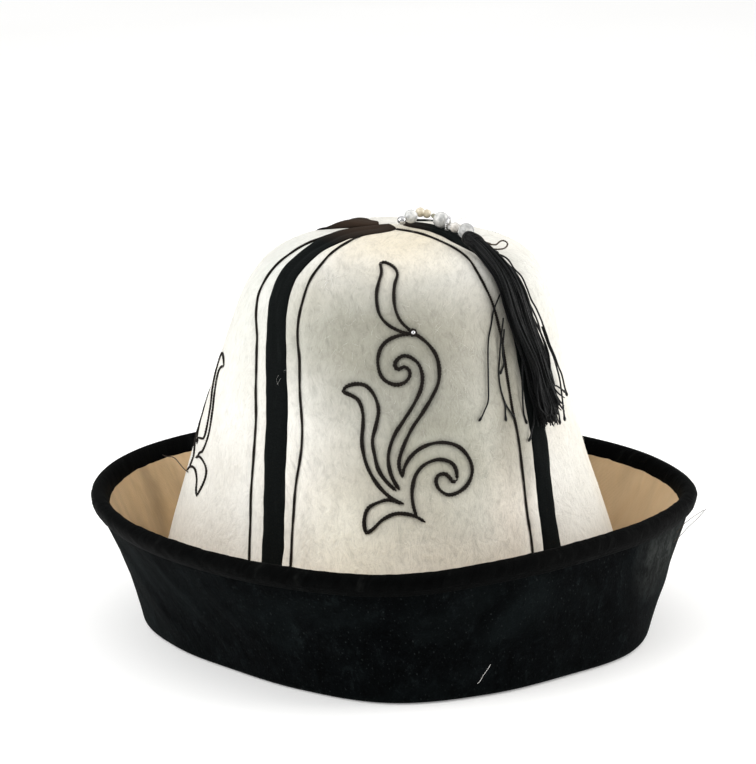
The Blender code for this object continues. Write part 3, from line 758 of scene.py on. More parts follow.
def lining_look():
    """Beige satin-faced cloth, finely woven, with soft pulls; painted shade in its folds and painted light on its right
    side.
    """
    look = Look("lining_cloth", Roughness=0.58, Specular_IOR_Level=0.35, Sheen_Weight=0.18,
                Sheen_Roughness=0.4, Sheen_Tint=(1.0, 0.93, 0.82, 1.0))
    weft = look.node("ShaderNodeTexWave", {"wave_type": "BANDS", "bands_direction": "Y"},
                     Vector=look.place((1.0, 1.0, 1.0), uv=True), Scale=0.55, Distortion=1.4,
                     Detail=2.0, Detail_Scale=1.6).outputs["Fac"]
    warp = look.node("ShaderNodeTexWave", {"wave_type": "BANDS", "bands_direction": "X"},
                     Vector=look.place((1.0, 1.0, 1.0), uv=True), Scale=0.60, Distortion=1.2,
                     Detail=2.0, Detail_Scale=1.4).outputs["Fac"]
    folds = look.noise(look.place((11.0, 40.0, 1.0), uv=True), 3.0, 0.55, 0.4)
    soil = look.noise(look.place((26.0, 20.0, 22.0)), 3.0, 0.6)
    base = look.ramp(soil, [(0.30, (0.560, 0.375, 0.190)), (0.70, (0.700, 0.490, 0.275))])
    # darker in the folds' troughs and lighter on their crests: painted shade and painted light
    base = look.mix(0.60, base, look.ramp(folds, [(0.32, 0.52), (0.50, 0.88), (0.66, 1.12)]), "MULTIPLY")
    # lighter towards the right side of the brim: painted light
    right = look.spot(look.place((1.0, 1.0, 1.0), uv=True), (30.0, 30.0, 0.0), (95.0, 60.0, 400.0))
    base = look.mix(look.ramp(right, [(0.0, 0.75), (1.0, 0.0)]), base, (0.80, 0.58, 0.35))
    weave = look.sums("ADD", weft, warp)
    base = look.mix(0.22, base, look.ramp(look.sums("MULTIPLY", weave, 0.5),
                                          [(0.10, 0.55), (0.70, 1.0)]), "MULTIPLY")
    soft = look.bump(folds, 1.4, 0.6)
    return look.set(Base_Color=base, Normal=look.bump(weave, 0.12, 0.6, soft))


def silk_look():
    """Black thread with a low gloss, its two plies turning round each other."""
    look = Look("tassel_silk", Roughness=0.46, Specular_IOR_Level=0.16)
    shade = look.noise(look.place((2.2, 2.2, 9.0)), 3.0, 0.6)
    ply = look.node("ShaderNodeTexWave", {"wave_type": "BANDS", "bands_direction": "DIAGONAL"},
                    Vector=look.scaled(look.node("ShaderNodeTexCoord").outputs["UV"],
                                       (1.0 / 1.2566, 1.5 / 0.6283, 1.0)), Scale=1.0,
                    Distortion=0.3).outputs["Fac"]
    base = look.ramp(shade, [(0.30, (0.0016, 0.0019, 0.0021)), (0.75, (0.0068, 0.0074, 0.0080))])
    base = look.mix(0.5, base, look.ramp(ply, [(0.0, 0.45), (0.8, 1.5)]), "MULTIPLY")
    return look.set(Base_Color=base, Normal=look.bump(ply, 0.10, 0.7))


def bead_look(name, low, high, size, **sockets):
    look = Look(name, **sockets)
    # the grey lows of this noise are partly the beads' own marbling, partly painted reflection of darker surroundings
    marbling_and_reflection = look.noise(look.place((size,) * 3), 3.0, 0.6)
    base = look.ramp(marbling_and_reflection, [(0.30, low), (0.72, high)])
    fine = look.noise(look.place((0.5,) * 3), 2.0, 0.5)
    return look.set(Base_Color=base, Normal=look.bump(fine, 0.02, 0.5))


def fibre_look(name, low, high):
    look = Look(name, Roughness=0.8, Specular_IOR_Level=0.25)
    tone = look.noise(look.place((3.0,) * 3), 2.0, 0.6)
    return look.set(Base_Color=look.ramp(tone, [(0.3, low), (0.7, high)]))


def floor_look():
    look = Look("studio_floor", Roughness=0.85, Specular_IOR_Level=0.15,
                Emission_Color=(1.0, 1.0, 0.995, 1.0), Emission_Strength=0.20)
    tone = look.noise(look.place((260.0,) * 3), 2.0, 0.5)
    grain = look.noise(look.place((1.6,) * 3), 2.0, 0.6)
    base = look.ramp(tone, [(0.3, (0.905, 0.905, 0.900)), (0.7, (0.930, 0.930, 0.928))])
    return look.set(Base_Color=base, Normal=look.bump(grain, 0.05, 0.2))


BODY = list(frame["bodies"])[0]
FELT_LOOKS = {
    "front": felt_look("felt_front", 0.30, [
        (-8.0, 136.0, 86.0, 38.0, (0.475, 0.475, 0.430), 1.0),
        (11.0, 96.0, 58.0, 40.0, (0.56, 0.56, 0.505), 1.0),
        (0.0, 193.0, 42.0, 38.0, (1.0, 0.925, 0.79), 0.9),
        (8.0, 60.0, 60.0, 34.0, (0.97, 0.955, 0.90), 0.9),
        # a brighter patch low on the left of the front gore: painted light
        (-30.0, 54.0, 34.0, 32.0, (1.13, 1.13, 1.09), 1.0),
        # the tassel's shadow on the front gore, to its left and below it: painted shadow
        (48.0, 116.0, 17.0, 50.0, (0.55, 0.54, 0.50), 1.0),
        (44.0, 70.0, 14.0, 34.0, (1.0, 0.95, 0.92), 0.8)]),
    "right": felt_look("felt_right", 0.30, [
        (350.0, 148.0, 46.0, 60.0, (0.84, 0.85, 0.85), 1.0),
        (390.0, 60.0, 26.0, 44.0, (1.0, 0.965, 0.90), 0.8)]),
    "back": felt_look("felt_back", 0.30),
    "left": felt_look("felt_left", 0.10, [
        (1230.0, 150.0, 50.0, 60.0, (0.86, 0.88, 0.88), 1.0)]),
}
CORD = cord_look()
RIBBON = ribbon_look()
VELVET = velvet_look()
BINDING = binding_look()
LINING_CLOTH = lining_look()
SILK = silk_look()
SILVER = bead_look("bead_silver", (0.42, 0.42, 0.43), (0.66, 0.66, 0.67), 1.2,
                   Metallic=0.9, Roughness=0.24)
MILK = bead_look("bead_milk", (0.34, 0.35, 0.35), (0.90, 0.89, 0.86), 2.1,
                 Roughness=0.22, Coat_Weight=0.5, Coat_Roughness=0.08)
IVORY = bead_look("bead_ivory", (0.52, 0.44, 0.30), (0.84, 0.77, 0.62), 1.6,
                  Roughness=0.26, Coat_Weight=0.4, Coat_Roughness=0.1)
PEARL = bead_look("bead_pearl", (0.46, 0.43, 0.39), (0.88, 0.85, 0.81), 2.0,
                  Roughness=0.24, Coat_Weight=0.7, Coat_Roughness=0.06)
GLASS = bead_look("bead_glass", (0.50, 0.51, 0.51), (0.97, 0.97, 0.96), 2.2,
                  Roughness=0.10, Transmission_Weight=0.55, IOR=1.5)
OLIVE = bead_look("bead_olive", (0.20, 0.19, 0.13), (0.42, 0.40, 0.30), 1.0, Roughness=0.35)
TAIL = fibre_look("string_tail", (0.020, 0.014, 0.010), (0.090, 0.066, 0.046))
LINT = fibre_look("white_fibre", (0.62, 0.60, 0.56), (0.86, 0.85, 0.82))
HAIR = fibre_look("felt_fibre", (0.66, 0.63, 0.57), (0.88, 0.86, 0.80))

# the CAD nodes that stay hidden still carry the finished materials
for node, look in {
    "gore_front": FELT_LOOKS["front"], "gore_right": FELT_LOOKS["right"],
    "gore_back": FELT_LOOKS["back"], "gore_left": FELT_LOOKS["left"],
    "ribbon_front_left": RIBBON, "ribbon_front_right": RIBBON, "ribbon_back_right": RIBBON,
    "ribbon_back_left": RIBBON, "brim_cover": VELVET, "brim_lining": LINING_CLOTH,
    "rim_binding": BINDING, "bead_silver": SILVER, "bead_spacer": SILVER,
    "bead_white_small": MILK, "bead_white": MILK, "bead_ivory": IVORY, "bead_pearl": PEARL,
    "bead_clear": GLASS, "tassel_head": SILK, "tassel_skirt": SILK,
}.items():
    node_mesh = frame["nodes"][node].data
    for number in range(len(node_mesh.materials)):
        node_mesh.materials[number] = look


def gore_grid(gore, columns, rows):
    up = CROWN_LENGTH * np.linspace(0, 1, rows)[:, None]
    r = np.maximum(outline(up)[..., 1], 1.0)
    clear = np.degrees(0.12 / r)
    start, end = seam_azimuth(gore, up), seam_azimuth((gore + 1) % 4, up)
    span = (end - start) % 360.0 - 2 * clear
    across = np.linspace(0, 1, columns)[None, :]
    return np.broadcast_arrays(start + clear + span * across, up)


def build_gore(gore, columns, rows):
    name = GORES[gore]
    azimuth, up = gore_grid(gore, columns, rows)
    normal, _, _ = directions(crown_cad, azimuth, up)
    base = crown_cad(azimuth, up) + normal * relief(azimuth, up)[..., None]
    outer = base + normal * gore_channel(gore, azimuth, up)[..., None]
    inner = base - normal * FELT
    for face in (outer, inner):            # the last rows close in on the apex
        axis = face[-1].mean(0) * [0, 0, 1] + [-MIDDLE[0], -MIDDLE[1], 0]
        for row, keep in ((-1, 0.06), (-2, 0.5)):
            flat = axis.copy()
            flat[2] = face[row, :, 2].mean()
            face[row] = flat + (face[row] - flat) * keep
    middle = gore_middle(gore, up)
    r = np.maximum(outline(up)[..., 1], 1.0)
    uv = np.stack([np.radians((azimuth - middle + 180) % 360 - 180) * r + 400.0 * gore, up], -1)
    obj = Soup().add(*shell(outer, inner, uv=uv)).build(
        "felt_" + name, FELT_LOOKS[name], "felt", ("gore_" + name,))
    return obj


for gore, columns, rows in ((0, 150, 220), (1, 84, 150), (2, 100, 130), (3, 96, 170)):
    build_gore(gore, columns, rows)


# ------------------------------------------------------------------ stitched cords
def cord_on(points, soup, width=1.65, lift=0.34, pitch=2.4, start=0.0):
    """Two-ply twisted cord on the felt; points are rows of (azimuth, up)."""
    azimuth, up = points[:, 0], points[:, 1]
    middle, normal, _, _ = on_crown(azimuth, up, lift)
    s = np.concatenate([[0.0], np.cumsum(np.linalg.norm(np.diff(middle, axis=0), axis=1))])
    at = np.linspace(0, s[-1], max(int(s[-1] / (pitch / 6.0)), 4) + 1)
    middle = np.stack([np.interp(at, s, middle[:, k]) for k in range(3)], -1)
    normal = unit(np.stack([np.interp(at, s, normal[:, k]) for k in range(3)], -1))
    across = unit(np.cross(normal, np.gradient(middle, axis=0)))
    uneven = 1.0 + 0.10 * np.sin(at / 3.1 + start) + 0.07 * np.sin(at / 1.3 + 2 * start)
    ends = np.clip(np.minimum(at, at[-1] - at) / 1.2, 0.45, 1.0)
    r = width / 4 * 1.06 * uneven * ends
    turn = 2 * math.pi * at / pitch + start
    for ply in (0.0, math.pi):
        path = (middle + across * (r * np.cos(turn + ply))[:, None]
                + normal * (r * 0.9 * np.sin(turn + ply))[:, None])
        soup.add(*tubes(path, r * 1.05, 5, normal))


for gore in range(4):
    soup = Soup()
    for place_number, (owner, mirror, rows) in enumerate(SCROLL_PLACES):
        if owner != gore:
            continue
        for number, (name, path) in enumerate(SCROLL_PATHS.items()):
            path = placed(path, mirror, rows)
            thin = 0.88 if name.startswith("leaf_top") else 1.0
            flat_cord = gore == 3
            cord_on(np.stack([on_gore(gore, path[:, 0], path[:, 1]), path[:, 1]], -1), soup,
                    width=(1.0 if flat_cord else 1.6) * thin, lift=0.10 if flat_cord else 0.34,
                    start=1.3 * number)
    for number, (name, (owner, rows)) in enumerate(LINES.items()):
        if owner != gore:
            continue
        rows = np.asarray(rows, float)
        up = np.linspace(rows[0, 0], rows[-1, 0], int((rows[-1, 0] - rows[0, 0]) * 2.2))
        r = outline(up)[..., 1]
        sway = 0.16 * np.sin(up / 7.1 + number) + 0.10 * np.sin(up / 3.2 + 2.0 * number)
        azimuth = line_azimuth(name, up) + np.degrees(sway / np.maximum(r, 6.0))
        cord_on(np.stack([azimuth, up], -1), soup, width=1.12, lift=0.24, pitch=1.9,
                start=0.7 * number)
    soup.build("stitches_" + GORES[gore], CORD, "ribbon")


# ------------------------------------------------------------------ ribbons
RIBBON_WIDTHS = (12.2, 9.8, 11.0, 11.0)
RIBBON_ENDS = (4.2, 5.0, 13.0, 5.0)       # how far from the apex each one's end is, mm


def up_at(radius):
    """Distance up the outline where its radius is this, in the upper crown."""
    ups = np.linspace(CROWN_KNOTS[9], CROWN_LENGTH, 4000)
    return np.interp(-np.asarray(radius, float), -outline(ups)[..., 1], ups)


def from_plan(x, y):
    """Azimuth and distance up of plan places (x, y) round the crown's axis, near the apex."""
    up = up_at(np.clip(np.hypot(x, y), 1.8, 56.0))
    azimuth = np.degrees(np.arctan2(y, x))
    for _ in range(6):
        row = outline(up)
        ends = outline(np.clip(up + 0.5, 0, CROWN_LENGTH)) - outline(np.clip(up - 0.5, 0, CROWN_LENGTH))
        sink = row[..., 3] * ends[..., 0] / np.maximum(np.hypot(ends[..., 0], ends[..., 1]), 1e-6)
        azimuth = np.degrees(np.arctan2(y, x - row[..., 4]))
        grow = 1 + row[..., 2] * (closed_curve(azimuth, 1) - FOOT - MEAN_FOOT) / MEAN_FOOT
        radius = np.hypot(x - row[..., 4], y)
        up = up_at(np.clip((radius + sink) / grow, 1.8, 56.0))
    return azimuth, up


def build_ribbon(seam, rows=300, columns=13):
    """A strip laid along a seam: its edges stay its own width apart, also over the top."""
    low = 4.0
    top = float(up_at(RIBBON_ENDS[seam]))
    up = np.linspace(low, top, rows)
    centre, normal, _, _ = on_crown(seam_azimuth(seam, up), up, 0.0)
    travel = np.concatenate([[0.0], np.cumsum(np.linalg.norm(np.diff(centre, axis=0), axis=1))])
    along = unit(np.gradient(centre, axis=0))
    for _ in range(10):
        along = unit(along + 0.5 * (np.roll(along, 1, 0) + np.roll(along, -1, 0)) * (
            (np.arange(rows) > 0) & (np.arange(rows) < rows - 1))[:, None])
    side = unit(np.cross(along, normal))
    wave = (0.20 * np.sin(travel / 8.3 + seam * 2.1) + 0.14 * np.sin(travel / 3.1 + seam)
            + 0.07 * np.sin(travel / 1.4 + 3.0 * seam))
    half = RIBBON_WIDTHS[seam] / 2 - 0.1
    rounded = np.sqrt(np.clip(1 - (1 - np.clip((travel[-1] - travel) / 7.0, 0, 1)) ** 2, 0.02, 1))
    half = half * rounded
    f = np.linspace(-1, 1, columns)[None, :]
    across = np.where(f < 0, f * (half + wave)[:, None], f * (half - np.roll(wave, 19))[:, None])
    spread = centre[:, None] + side[:, None] * across[..., None]
    r = local_radius(seam_azimuth(seam, up), up)
    turn = np.degrees(across / np.maximum(r[:, None], 4.0)) * -np.sign(
        (side * directions(crown, seam_azimuth(seam, up), up)[2]).sum(-1))[:, None]
    low_azimuth, low_up = seam_azimuth(seam, up)[:, None] - turn, np.broadcast_to(up[:, None], across.shape)
    plan = spread + MIDDLE
    high_azimuth, high_up = from_plan(plan[..., 0], plan[..., 1])
    high_azimuth = low_azimuth + (high_azimuth - low_azimuth + 180) % 360 - 180
    share = step01((up - 176.0) / 12.0)[:, None]
    azimuth = low_azimuth + (high_azimuth - low_azimuth) * share
    ups = low_up + (high_up - low_up) * share
    belly = 0.30 + 0.75 * (1 - np.abs(f) ** 3.0)
    ripple = 0.10 * np.sin(travel[:, None] / 3.7 + 2.2 * f + seam) * (1 - f ** 2)
    if seam == 3:                 # it rides up over the front left one near the apex
        ripple = ripple + 2.1 * np.exp(-((travel[-1] - travel[:, None] - 11.0) / 8.5) ** 2)
    outer, normal, _, _ = on_crown(azimuth, ups, belly + ripple)
    inner = outer - normal * (belly + ripple - 0.02)[..., None]
    uv = np.stack([across + 60.0 * seam, np.broadcast_to(travel[:, None], across.shape)], -1)
    return Soup().add(*shell(outer, inner, uv=uv)).build(
        "ribbon_pile_" + SEAM_NAMES[seam], RIBBON, "ribbon", ("ribbon_" + SEAM_NAMES[seam],))


for seam in range(4):
    build_ribbon(seam)

# ------------------------------------------------------------------ brim
WALL_TOP = 1.0 - (BAND_HEIGHT + GAP) / 60.0
UNDER_BAND = WALL_TOP + 2.2 / 60.0          # how far the cloths run up inside the binding
TURN = np.linspace(0.0, 360.0, 432, endpoint=False)


def folds(azimuth, table):
    """Soft waves round the brim from rows (waves round, phase, height)."""
    a = np.radians(azimuth)
    return sum(h * np.sin(n * a + p) for n, p, h in table)


COVER_WAVES = [(9, 0.6, 0.30), (17, 2.2, 0.26), (31, 1.1, 0.16), (53, 0.3, 0.09)]
LINING_WAVES = [(23, 0.4, 0.34), (41, 2.6, 0.30), (67, 1.0, 0.16), (12, 0.9, 0.30)]
BINDING_WAVES = [(29, 0.2, 0.16), (61, 1.7, 0.16), (97, 0.5, 0.11), (13, 2.0, 0.14)]


def cover_section(depth, azimuth):
    """The cover's section, rows from its inner edge under the crown to the binding."""
    fold = closed_curve(azimuth, 1)
    a = np.radians(azimuth)
    rows = []
    turned = FOLD_ROUND - depth
    for inset in (UNDERTURN, 6.6, 5.2):
        rows.append((fold - inset, 0.0 * fold + depth))
    for angle in np.radians(np.linspace(0.0, 78.5, 9)):
        rows.append((fold - FOLD_ROUND + turned * math.sin(angle),
                     0.0 * fold + FOLD_ROUND - turned * math.cos(angle)))
    points = [np.stack([r * np.cos(a), r * np.sin(a), z], -1) - MIDDLE for r, z in rows]
    for share in np.linspace(0, UNDER_BAND, 47)[1:]:
        waves = folds(azimuth + 26.0 * share, COVER_WAVES) * step01(share / 0.35) * (1.0 - 0.5 * share)
        points.append(wall(azimuth, share, depth - waves))
    return np.stack(points)


outer, inner = cover_section(0.0, TURN), cover_section(COVER, TURN)
arc = np.radians(TURN) * 112.0
v = np.concatenate([[0.0], np.cumsum(np.linalg.norm(np.diff(outer, axis=0), axis=-1).mean(1))])
uv = np.stack(np.broadcast_arrays(arc[None, :], v[:, None]), -1)
velvet = Soup().add(*shell(outer, inner, True, uv)).build("brim_velvet", VELVET, "velvet", ("brim_cover",))

share = np.linspace(0.030, UNDER_BAND, 42)[:, None]
ease = step01((share - 0.05) / 0.3) * (1.0 - 0.8 * step01((share - WALL_TOP + 0.06) / 0.07))
waves = folds(TURN[None, :] + 14.0 * share, LINING_WAVES) * ease
sag = 0.35 * ease * np.sin(share * 9.0 + np.radians(TURN[None, :]) * 4)
back = wall(TURN[None, :], share, COVER + GAP + 0.0 * waves)
face = wall(TURN[None, :], share, COVER + GAP + LINING + 0.55 * np.abs(waves) + 0.2 * sag)
uv = np.stack(np.broadcast_arrays(arc[None, :], 60.0 * share), -1)
lining = Soup().add(*shell(face, back, True, uv)).build("lining_cloth", LINING_CLOTH, "lining",
                                                        ("brim_lining",))
tall = float(np.linalg.norm(np.diff(face, axis=0), axis=-1).mean(1).sum())


def build_binding(columns=840, rows=26):
    azimuth = np.linspace(0.0, 360.0, columns, endpoint=False)[None, :]
    turn = (2 * math.pi * np.arange(rows) / rows)[:, None]
    power = 0.74
    across = np.sign(np.cos(turn)) * np.abs(np.cos(turn)) ** power * BAND_THICK / 2
    along = np.sign(np.sin(turn)) * np.abs(np.sin(turn)) ** power * BAND_HEIGHT / 2
    slant = azimuth + 5.0 * along / BAND_HEIGHT
    pucker = folds(slant, BINDING_WAVES) + 0.12 * folds(azimuth * 1.0 + 9.0 * along / BAND_HEIGHT, [(149, 0.4, 1.0)])
    top = 0.35 + 0.65 * np.clip(np.sin(turn) + 0.4, 0, 1)
    swell = 1.0 + 0.055 * pucker * top / 0.3
    hem = -0.5 * np.exp(-((along + BAND_HEIGHT * 0.30) / 0.9) ** 2) * (np.cos(turn) > 0)
    middle = WALL_TOP + (BAND_HEIGHT / 2 + GAP) / 60.0
    points = wall(azimuth, middle + along * (0.985 + 0.015 * swell) / 60.0,
                  COVER / 2 + GAP - across * swell - hem)
    uv = np.stack(np.broadcast_arrays(np.radians(azimuth) * 122.0,
                                      12.0 * np.arange(rows)[:, None] / rows), -1)
    quads = grid(rows + 1, columns, True) % (rows * columns)
    obj = Soup().add(points, quads, None, uv).build("rim_roll", BINDING, "binding", ("rim_binding",))
    return obj


build_binding()

# ------------------------------------------------------------------ beads
BEADS = [
    # name, azimuth, distance from the apex, radius, half length (0 for a ball), lift over the felt
    ("bead_silver",      -68.5, 10.9, 1.8, 0.0, 2.0),
    ("bead_white_small", -42.0, 10.2, 2.8, 0.0, 2.0),
    ("bead_ivory",        -6.0, 13.9, 1.8, 0.0, 4.1),
    ("bead_white",       -18.0, 18.9, 3.3, 0.0, 1.7),
    ("bead_spacer",      -21.5, 23.0, 2.8, 0.7, 2.3),
    ("bead_pearl",       -24.5, 26.2, 2.1, 0.0, 2.6),
    ("bead_clear",       -29.5, 30.4, 3.3, 0.0, 1.8),
]
SEED_BEADS = [
    # between the others on the string, too small for nodes: after which bead, as above
    (1, -19.0, 11.4, 2.0, 4.3),
    (2, -10.5, 16.6, 1.0, 4.8),
]
BEAD_LOOKS = {"bead_silver": (SILVER, "silver_bead"), "bead_spacer": (SILVER, "silver_bead"),
              "bead_white_small": (MILK, "pearl_bead"), "bead_white": (MILK, "pearl_bead"),
              "bead_ivory": (IVORY, "pearl_bead"), "bead_pearl": (PEARL, "pearl_bead"),
              "bead_clear": (GLASS, "clear_bead")}


def cad_frame(azimuth, up):
    """Point, outward normal, downhill and third direction on the CAD's crown."""
    azimuth, up = np.float64(azimuth), np.float64(up)
    normal, down, side = directions(crown_cad, azimuth, up)
    return crown_cad(azimuth, up), normal, down, side


def bead_place(azimuth, away, lift):
    p, normal, down, _ = cad_frame(azimuth, float(up_at(away)))
    return p + normal * lift, down


bead_places = np.array([bead_place(az, away, lift + radius)[0] for _, az, away, radius, _, lift in BEADS])
bead_downs = np.array([bead_place(az, away, lift)[1] for _, az, away, _, _, lift in BEADS])
seed_places = np.array([bead_place(az, away, lift + radius)[0] for _, az, away, radius, lift in SEED_BEADS])
string_stops = np.array([bead_places[0], bead_places[1], seed_places[0], bead_places[2], seed_places[1],
                         *bead_places[3:]])
string_ways = unit(np.gradient(string_stops, axis=0))
string_way = string_ways[[0, 1, 3, 5, 6, 7, 8]]
seed_way = string_ways[[2, 4]]


def ball(radius, hole=0.42, rows=22, facets=0.0):
    """Profile of a drilled ball: round outside, with a straight hole."""
    start = math.asin(hole / radius)
    angle = np.linspace(start, math.pi - start, rows)
    rim = np.stack([-radius * np.cos(angle), radius * np.sin(angle)], -1)
    reach = radius * math.cos(start) * 0.96
    inner = np.stack([np.linspace(reach, -reach, 6), np.full(6, hole * 0.9)], -1)
    return np.concatenate([rim, inner])


for number, (name, _, away, radius, half_length, lift) in enumerate(BEADS):
    look, slot = BEAD_LOOKS[name]
    axis = string_way[number]
    soup = Soup()
    if half_length:
        axis = bead_downs[number]
        turn = np.linspace(-math.pi / 2, math.pi / 2, 9)
        rim = np.stack([half_length * np.sin(turn), radius - half_length * (1 - np.cos(turn))], -1)
        inner = np.stack([np.linspace(half_length, -half_length, 4), np.full(4, 0.5)], -1)
        soup.add(*turned_body(np.concatenate([rim, inner]), bead_places[number], axis, (0, 0, 1), 40))
        for k in range(20):                    # milled edge of the spacer
            a = 2 * math.pi * k / 20
            e1 = unit(np.cross(axis, (0.0, 0.0, 1.0)))
            e2 = np.cross(axis, e1)
            out = e1 * math.cos(a) + e2 * math.sin(a)
            soup.add(*turned_body(ball(0.42, 0.1, 8), bead_places[number] + out * (radius - 0.12),
                                  axis, out, 8))
    else:
        soup.add(*turned_body(ball(radius), bead_places[number], axis, (0, 0, 1), 40))
    soup.build(name.replace("bead_", "drilled_"), look, slot, (name,))
for number, look in ((0, IVORY), (1, OLIVE)):
    radius = SEED_BEADS[number][3]
    Soup().add(*turned_body(ball(radius, 0.4), seed_places[number], seed_way[number], (0, 0, 1), 30)).build(
        ("seed_ivory", "seed_olive")[number], look, "pearl_bead")


# ------------------------------------------------------------------ tassel
SKIRT = np.array([
    # distance up, azimuth, half width, half thickness, lift over the felt
    (94.0,  -34.5, 8.2, 2.0, 1.6),
    (101.0, -35.0, 9.0, 2.8, 1.4),
    (112.0, -36.3, 8.8, 3.3, 1.4),
    (124.0, -38.0, 8.2, 3.5, 1.4),
    (137.0, -40.5, 7.2, 3.5, 1.4),
    (148.0, -42.2, 6.1, 3.4, 1.4),
    (158.0, -43.5, 4.9, 3.1, 1.5),
    (166.0, -44.0, 4.2, 3.0, 1.5),
    (172.0, -43.2, 3.6, 2.8, 1.7),
    (180.0, -41.3, 2.7, 2.3, 2.4),
])
HEAD_AT = (-41.5, 179.2)
HEAD = (5.4, 3.3, 3.1)
TOP = 179.0                       # where the strands leave the head


def in_skirt(x, y, up):
    """A place in the tassel: x across and y through it, each from -1 to 1."""
    row = open_curve(SKIRT[:, 0], SKIRT[:, 1:], up)
    azimuth, wide, thick, lift = (row[..., k] for k in range(4))
    p, normal, _, side = on_crown(azimuth, up, 0.0)
    return p + normal * (lift + thick + thick * y)[..., None] + side * (wide * x)[..., None]


def strand_thickness(base, path, tip=1.25):
    """Radius along strands: even, with a small knot at the loose end."""
    s = np.concatenate([np.zeros(path.shape[:-2] + (1,)),
                        np.cumsum(np.linalg.norm(np.diff(path, axis=-2), axis=-1), axis=-1)], -1)
    left = s[..., -1:] - s
    return base * (1 + (tip - 1) * np.exp(-((left - 0.9) / 0.9) ** 2)) * np.clip(0.55 + left / 0.9, 0, 1)


def strands(count, rings, seed, locks=17):
    """Strands in loose locks that part from each other lower down."""
    rng = np.random.default_rng(seed)
    turn_at, far = rng.uniform(0, 2 * math.pi, locks), np.sqrt(rng.uniform(0.0, 1.0, locks)) * 0.86
    lock = rng.integers(0, locks, count)
    f = np.linspace(0, 1, rings)[None, :]
    lock_phase = rng.uniform(0, 6.28, (4, locks))
    lock_sway = rng.normal(0, 1.0, (4, locks))
    cx = far * np.cos(turn_at)
    cy = far * np.sin(turn_at)
    spread = rng.normal(0, 0.17, (2, count))
    x0 = (cx[lock] + spread[0]).clip(-1.0, 1.05)
    y0 = cy[lock] + spread[1]
    low = 98.0 + 5.0 * step01((x0 + 0.4) / 1.2) + rng.normal(0, 1.9, count) + 1.6 * lock_sway[2][lock]
    low = low + (rng.random(count) < 0.12) * rng.uniform(2, 13, count)
    up = TOP + (low[:, None] - TOP) * f
    gather = step01((150.0 - up) / 32.0)
    shrink = np.where(rng.random(count) < 0.06, 1.0, 0.76)[:, None]
    x = x0[:, None] * (1 + (shrink - 1) * gather) + 0.25 * gather
    x = x + 0.42 * (0.5 + x0[:, None]).clip(0, 1.2) * np.exp(-((up - 157.0) / 14.0) ** 2) * step01((174.0 - up) / 12.0)
    off = (rng.random(count) < 0.17) & (x0 > 0.0)
    x = x + (off * rng.uniform(0.25, 0.85, count))[:, None] * np.sin(np.pi * f ** rng.uniform(0.6, 1.2, (count, 1))) ** 1.3
    inner = (rng.random(count) < 0.76) & (x0 > 0.05)       # most keep to the middle, a few stand off
    x = x - (inner * 0.34 * step01((x0 - 0.05) / 0.4))[:, None] * np.sin(np.pi * f ** 0.9).clip(0, 1) ** 0.8
    x = x + 0.22 * lock_sway[0][lock][:, None] * np.sin(f * 4.4 + lock_phase[0][lock][:, None]) * f ** 0.8
    y = y0[:, None] * (0.98 - 0.08 * f)
    y = y + 0.16 * lock_sway[1][lock][:, None] * np.sin(f * 5.0 + lock_phase[1][lock][:, None]) * f ** 0.8
    sway = rng.normal(0, 1.0, (4, count, 1))
    phase = rng.uniform(0, 6.28, (4, count, 1))
    x = x + (0.09 * sway[0] * np.sin(f * 3.1 + phase[0]) + 0.075 * sway[1] * np.sin(f * 12.0 + phase[1])) * f ** 0.6
    y = y + (0.09 * sway[2] * np.sin(f * 3.7 + phase[2]) + 0.07 * sway[3] * np.sin(f * 9.0 + phase[3])) * f ** 0.5
    tip = np.clip((f - 0.92) / 0.08, 0, 1) ** 2
    x = x + tip * rng.normal(0.03, 0.15, (count, 1))
    y = y + tip * rng.normal(0.0, 0.25, (count, 1))
    keep = (x0 < 0.5) | (rng.random(count) < 0.75)        # the felt shows between those on its right
    return in_skirt(x, y.clip(-1.0, 1.15), up)[keep], rng


bundle_paths, rng = strands(190, 46, 5)
thick = strand_thickness(rng.uniform(0.29, 0.40, (len(bundle_paths), 1)), bundle_paths)
bundle = Soup()
turn = np.linspace(0, 2 * math.pi, 20, endpoint=False)[None, :]
ups = np.linspace(177.0, 118.0, 24)[:, None]
gather = step01((150.0 - ups) / 32.0)
core = in_skirt((0.56 - 0.20 * gather) * np.cos(turn) + 0.16 * gather - 0.12,
                0.62 * np.sin(turn) - 0.10 + 0.0 * ups, np.broadcast_to(ups, (24, 20)))
tips = np.stack([core[0].mean(0), core[-1].mean(0)])
quads = grid(24, 20, True)
k = np.arange(20)
cap_a = np.stack([np.full(20, 480), (k + 1) % 20, k], -1)
cap_b = np.stack([np.full(20, 481), 460 + k, 460 + (k + 1) % 20], -1)
bundle.add(np.concatenate([core.reshape(-1, 3), tips]), quads, np.concatenate([cap_a, cap_b]))
bundle.build("tassel_core", SILK, "tassel_thread")
Soup().add(*tubes(bundle_paths, thick, 6, (0.0, 0.0, 1.0) + 0.0 * bundle_paths)).build(
    "tassel_threads", SILK, "tassel_thread", ("tassel_skirt",))

p, normal, down, side = cad_frame(*HEAD_AT)
head_at = p + normal * (HEAD[2] + 0.55 + 0.7 + 0.5)


def head_point(along, turn, size=1.0):
    """Round the tassel's head: along from -1 (neck) to 1 (top)."""
    bulge = np.sqrt(np.clip(1 - along ** 2, 0.0, 1)) ** 0.8
    return (head_at - down * (along * HEAD[0] * size)[..., None]
            + side * (bulge * HEAD[1] * size * np.cos(turn))[..., None]
            + normal * (bulge * HEAD[2] * size * np.sin(turn))[..., None])


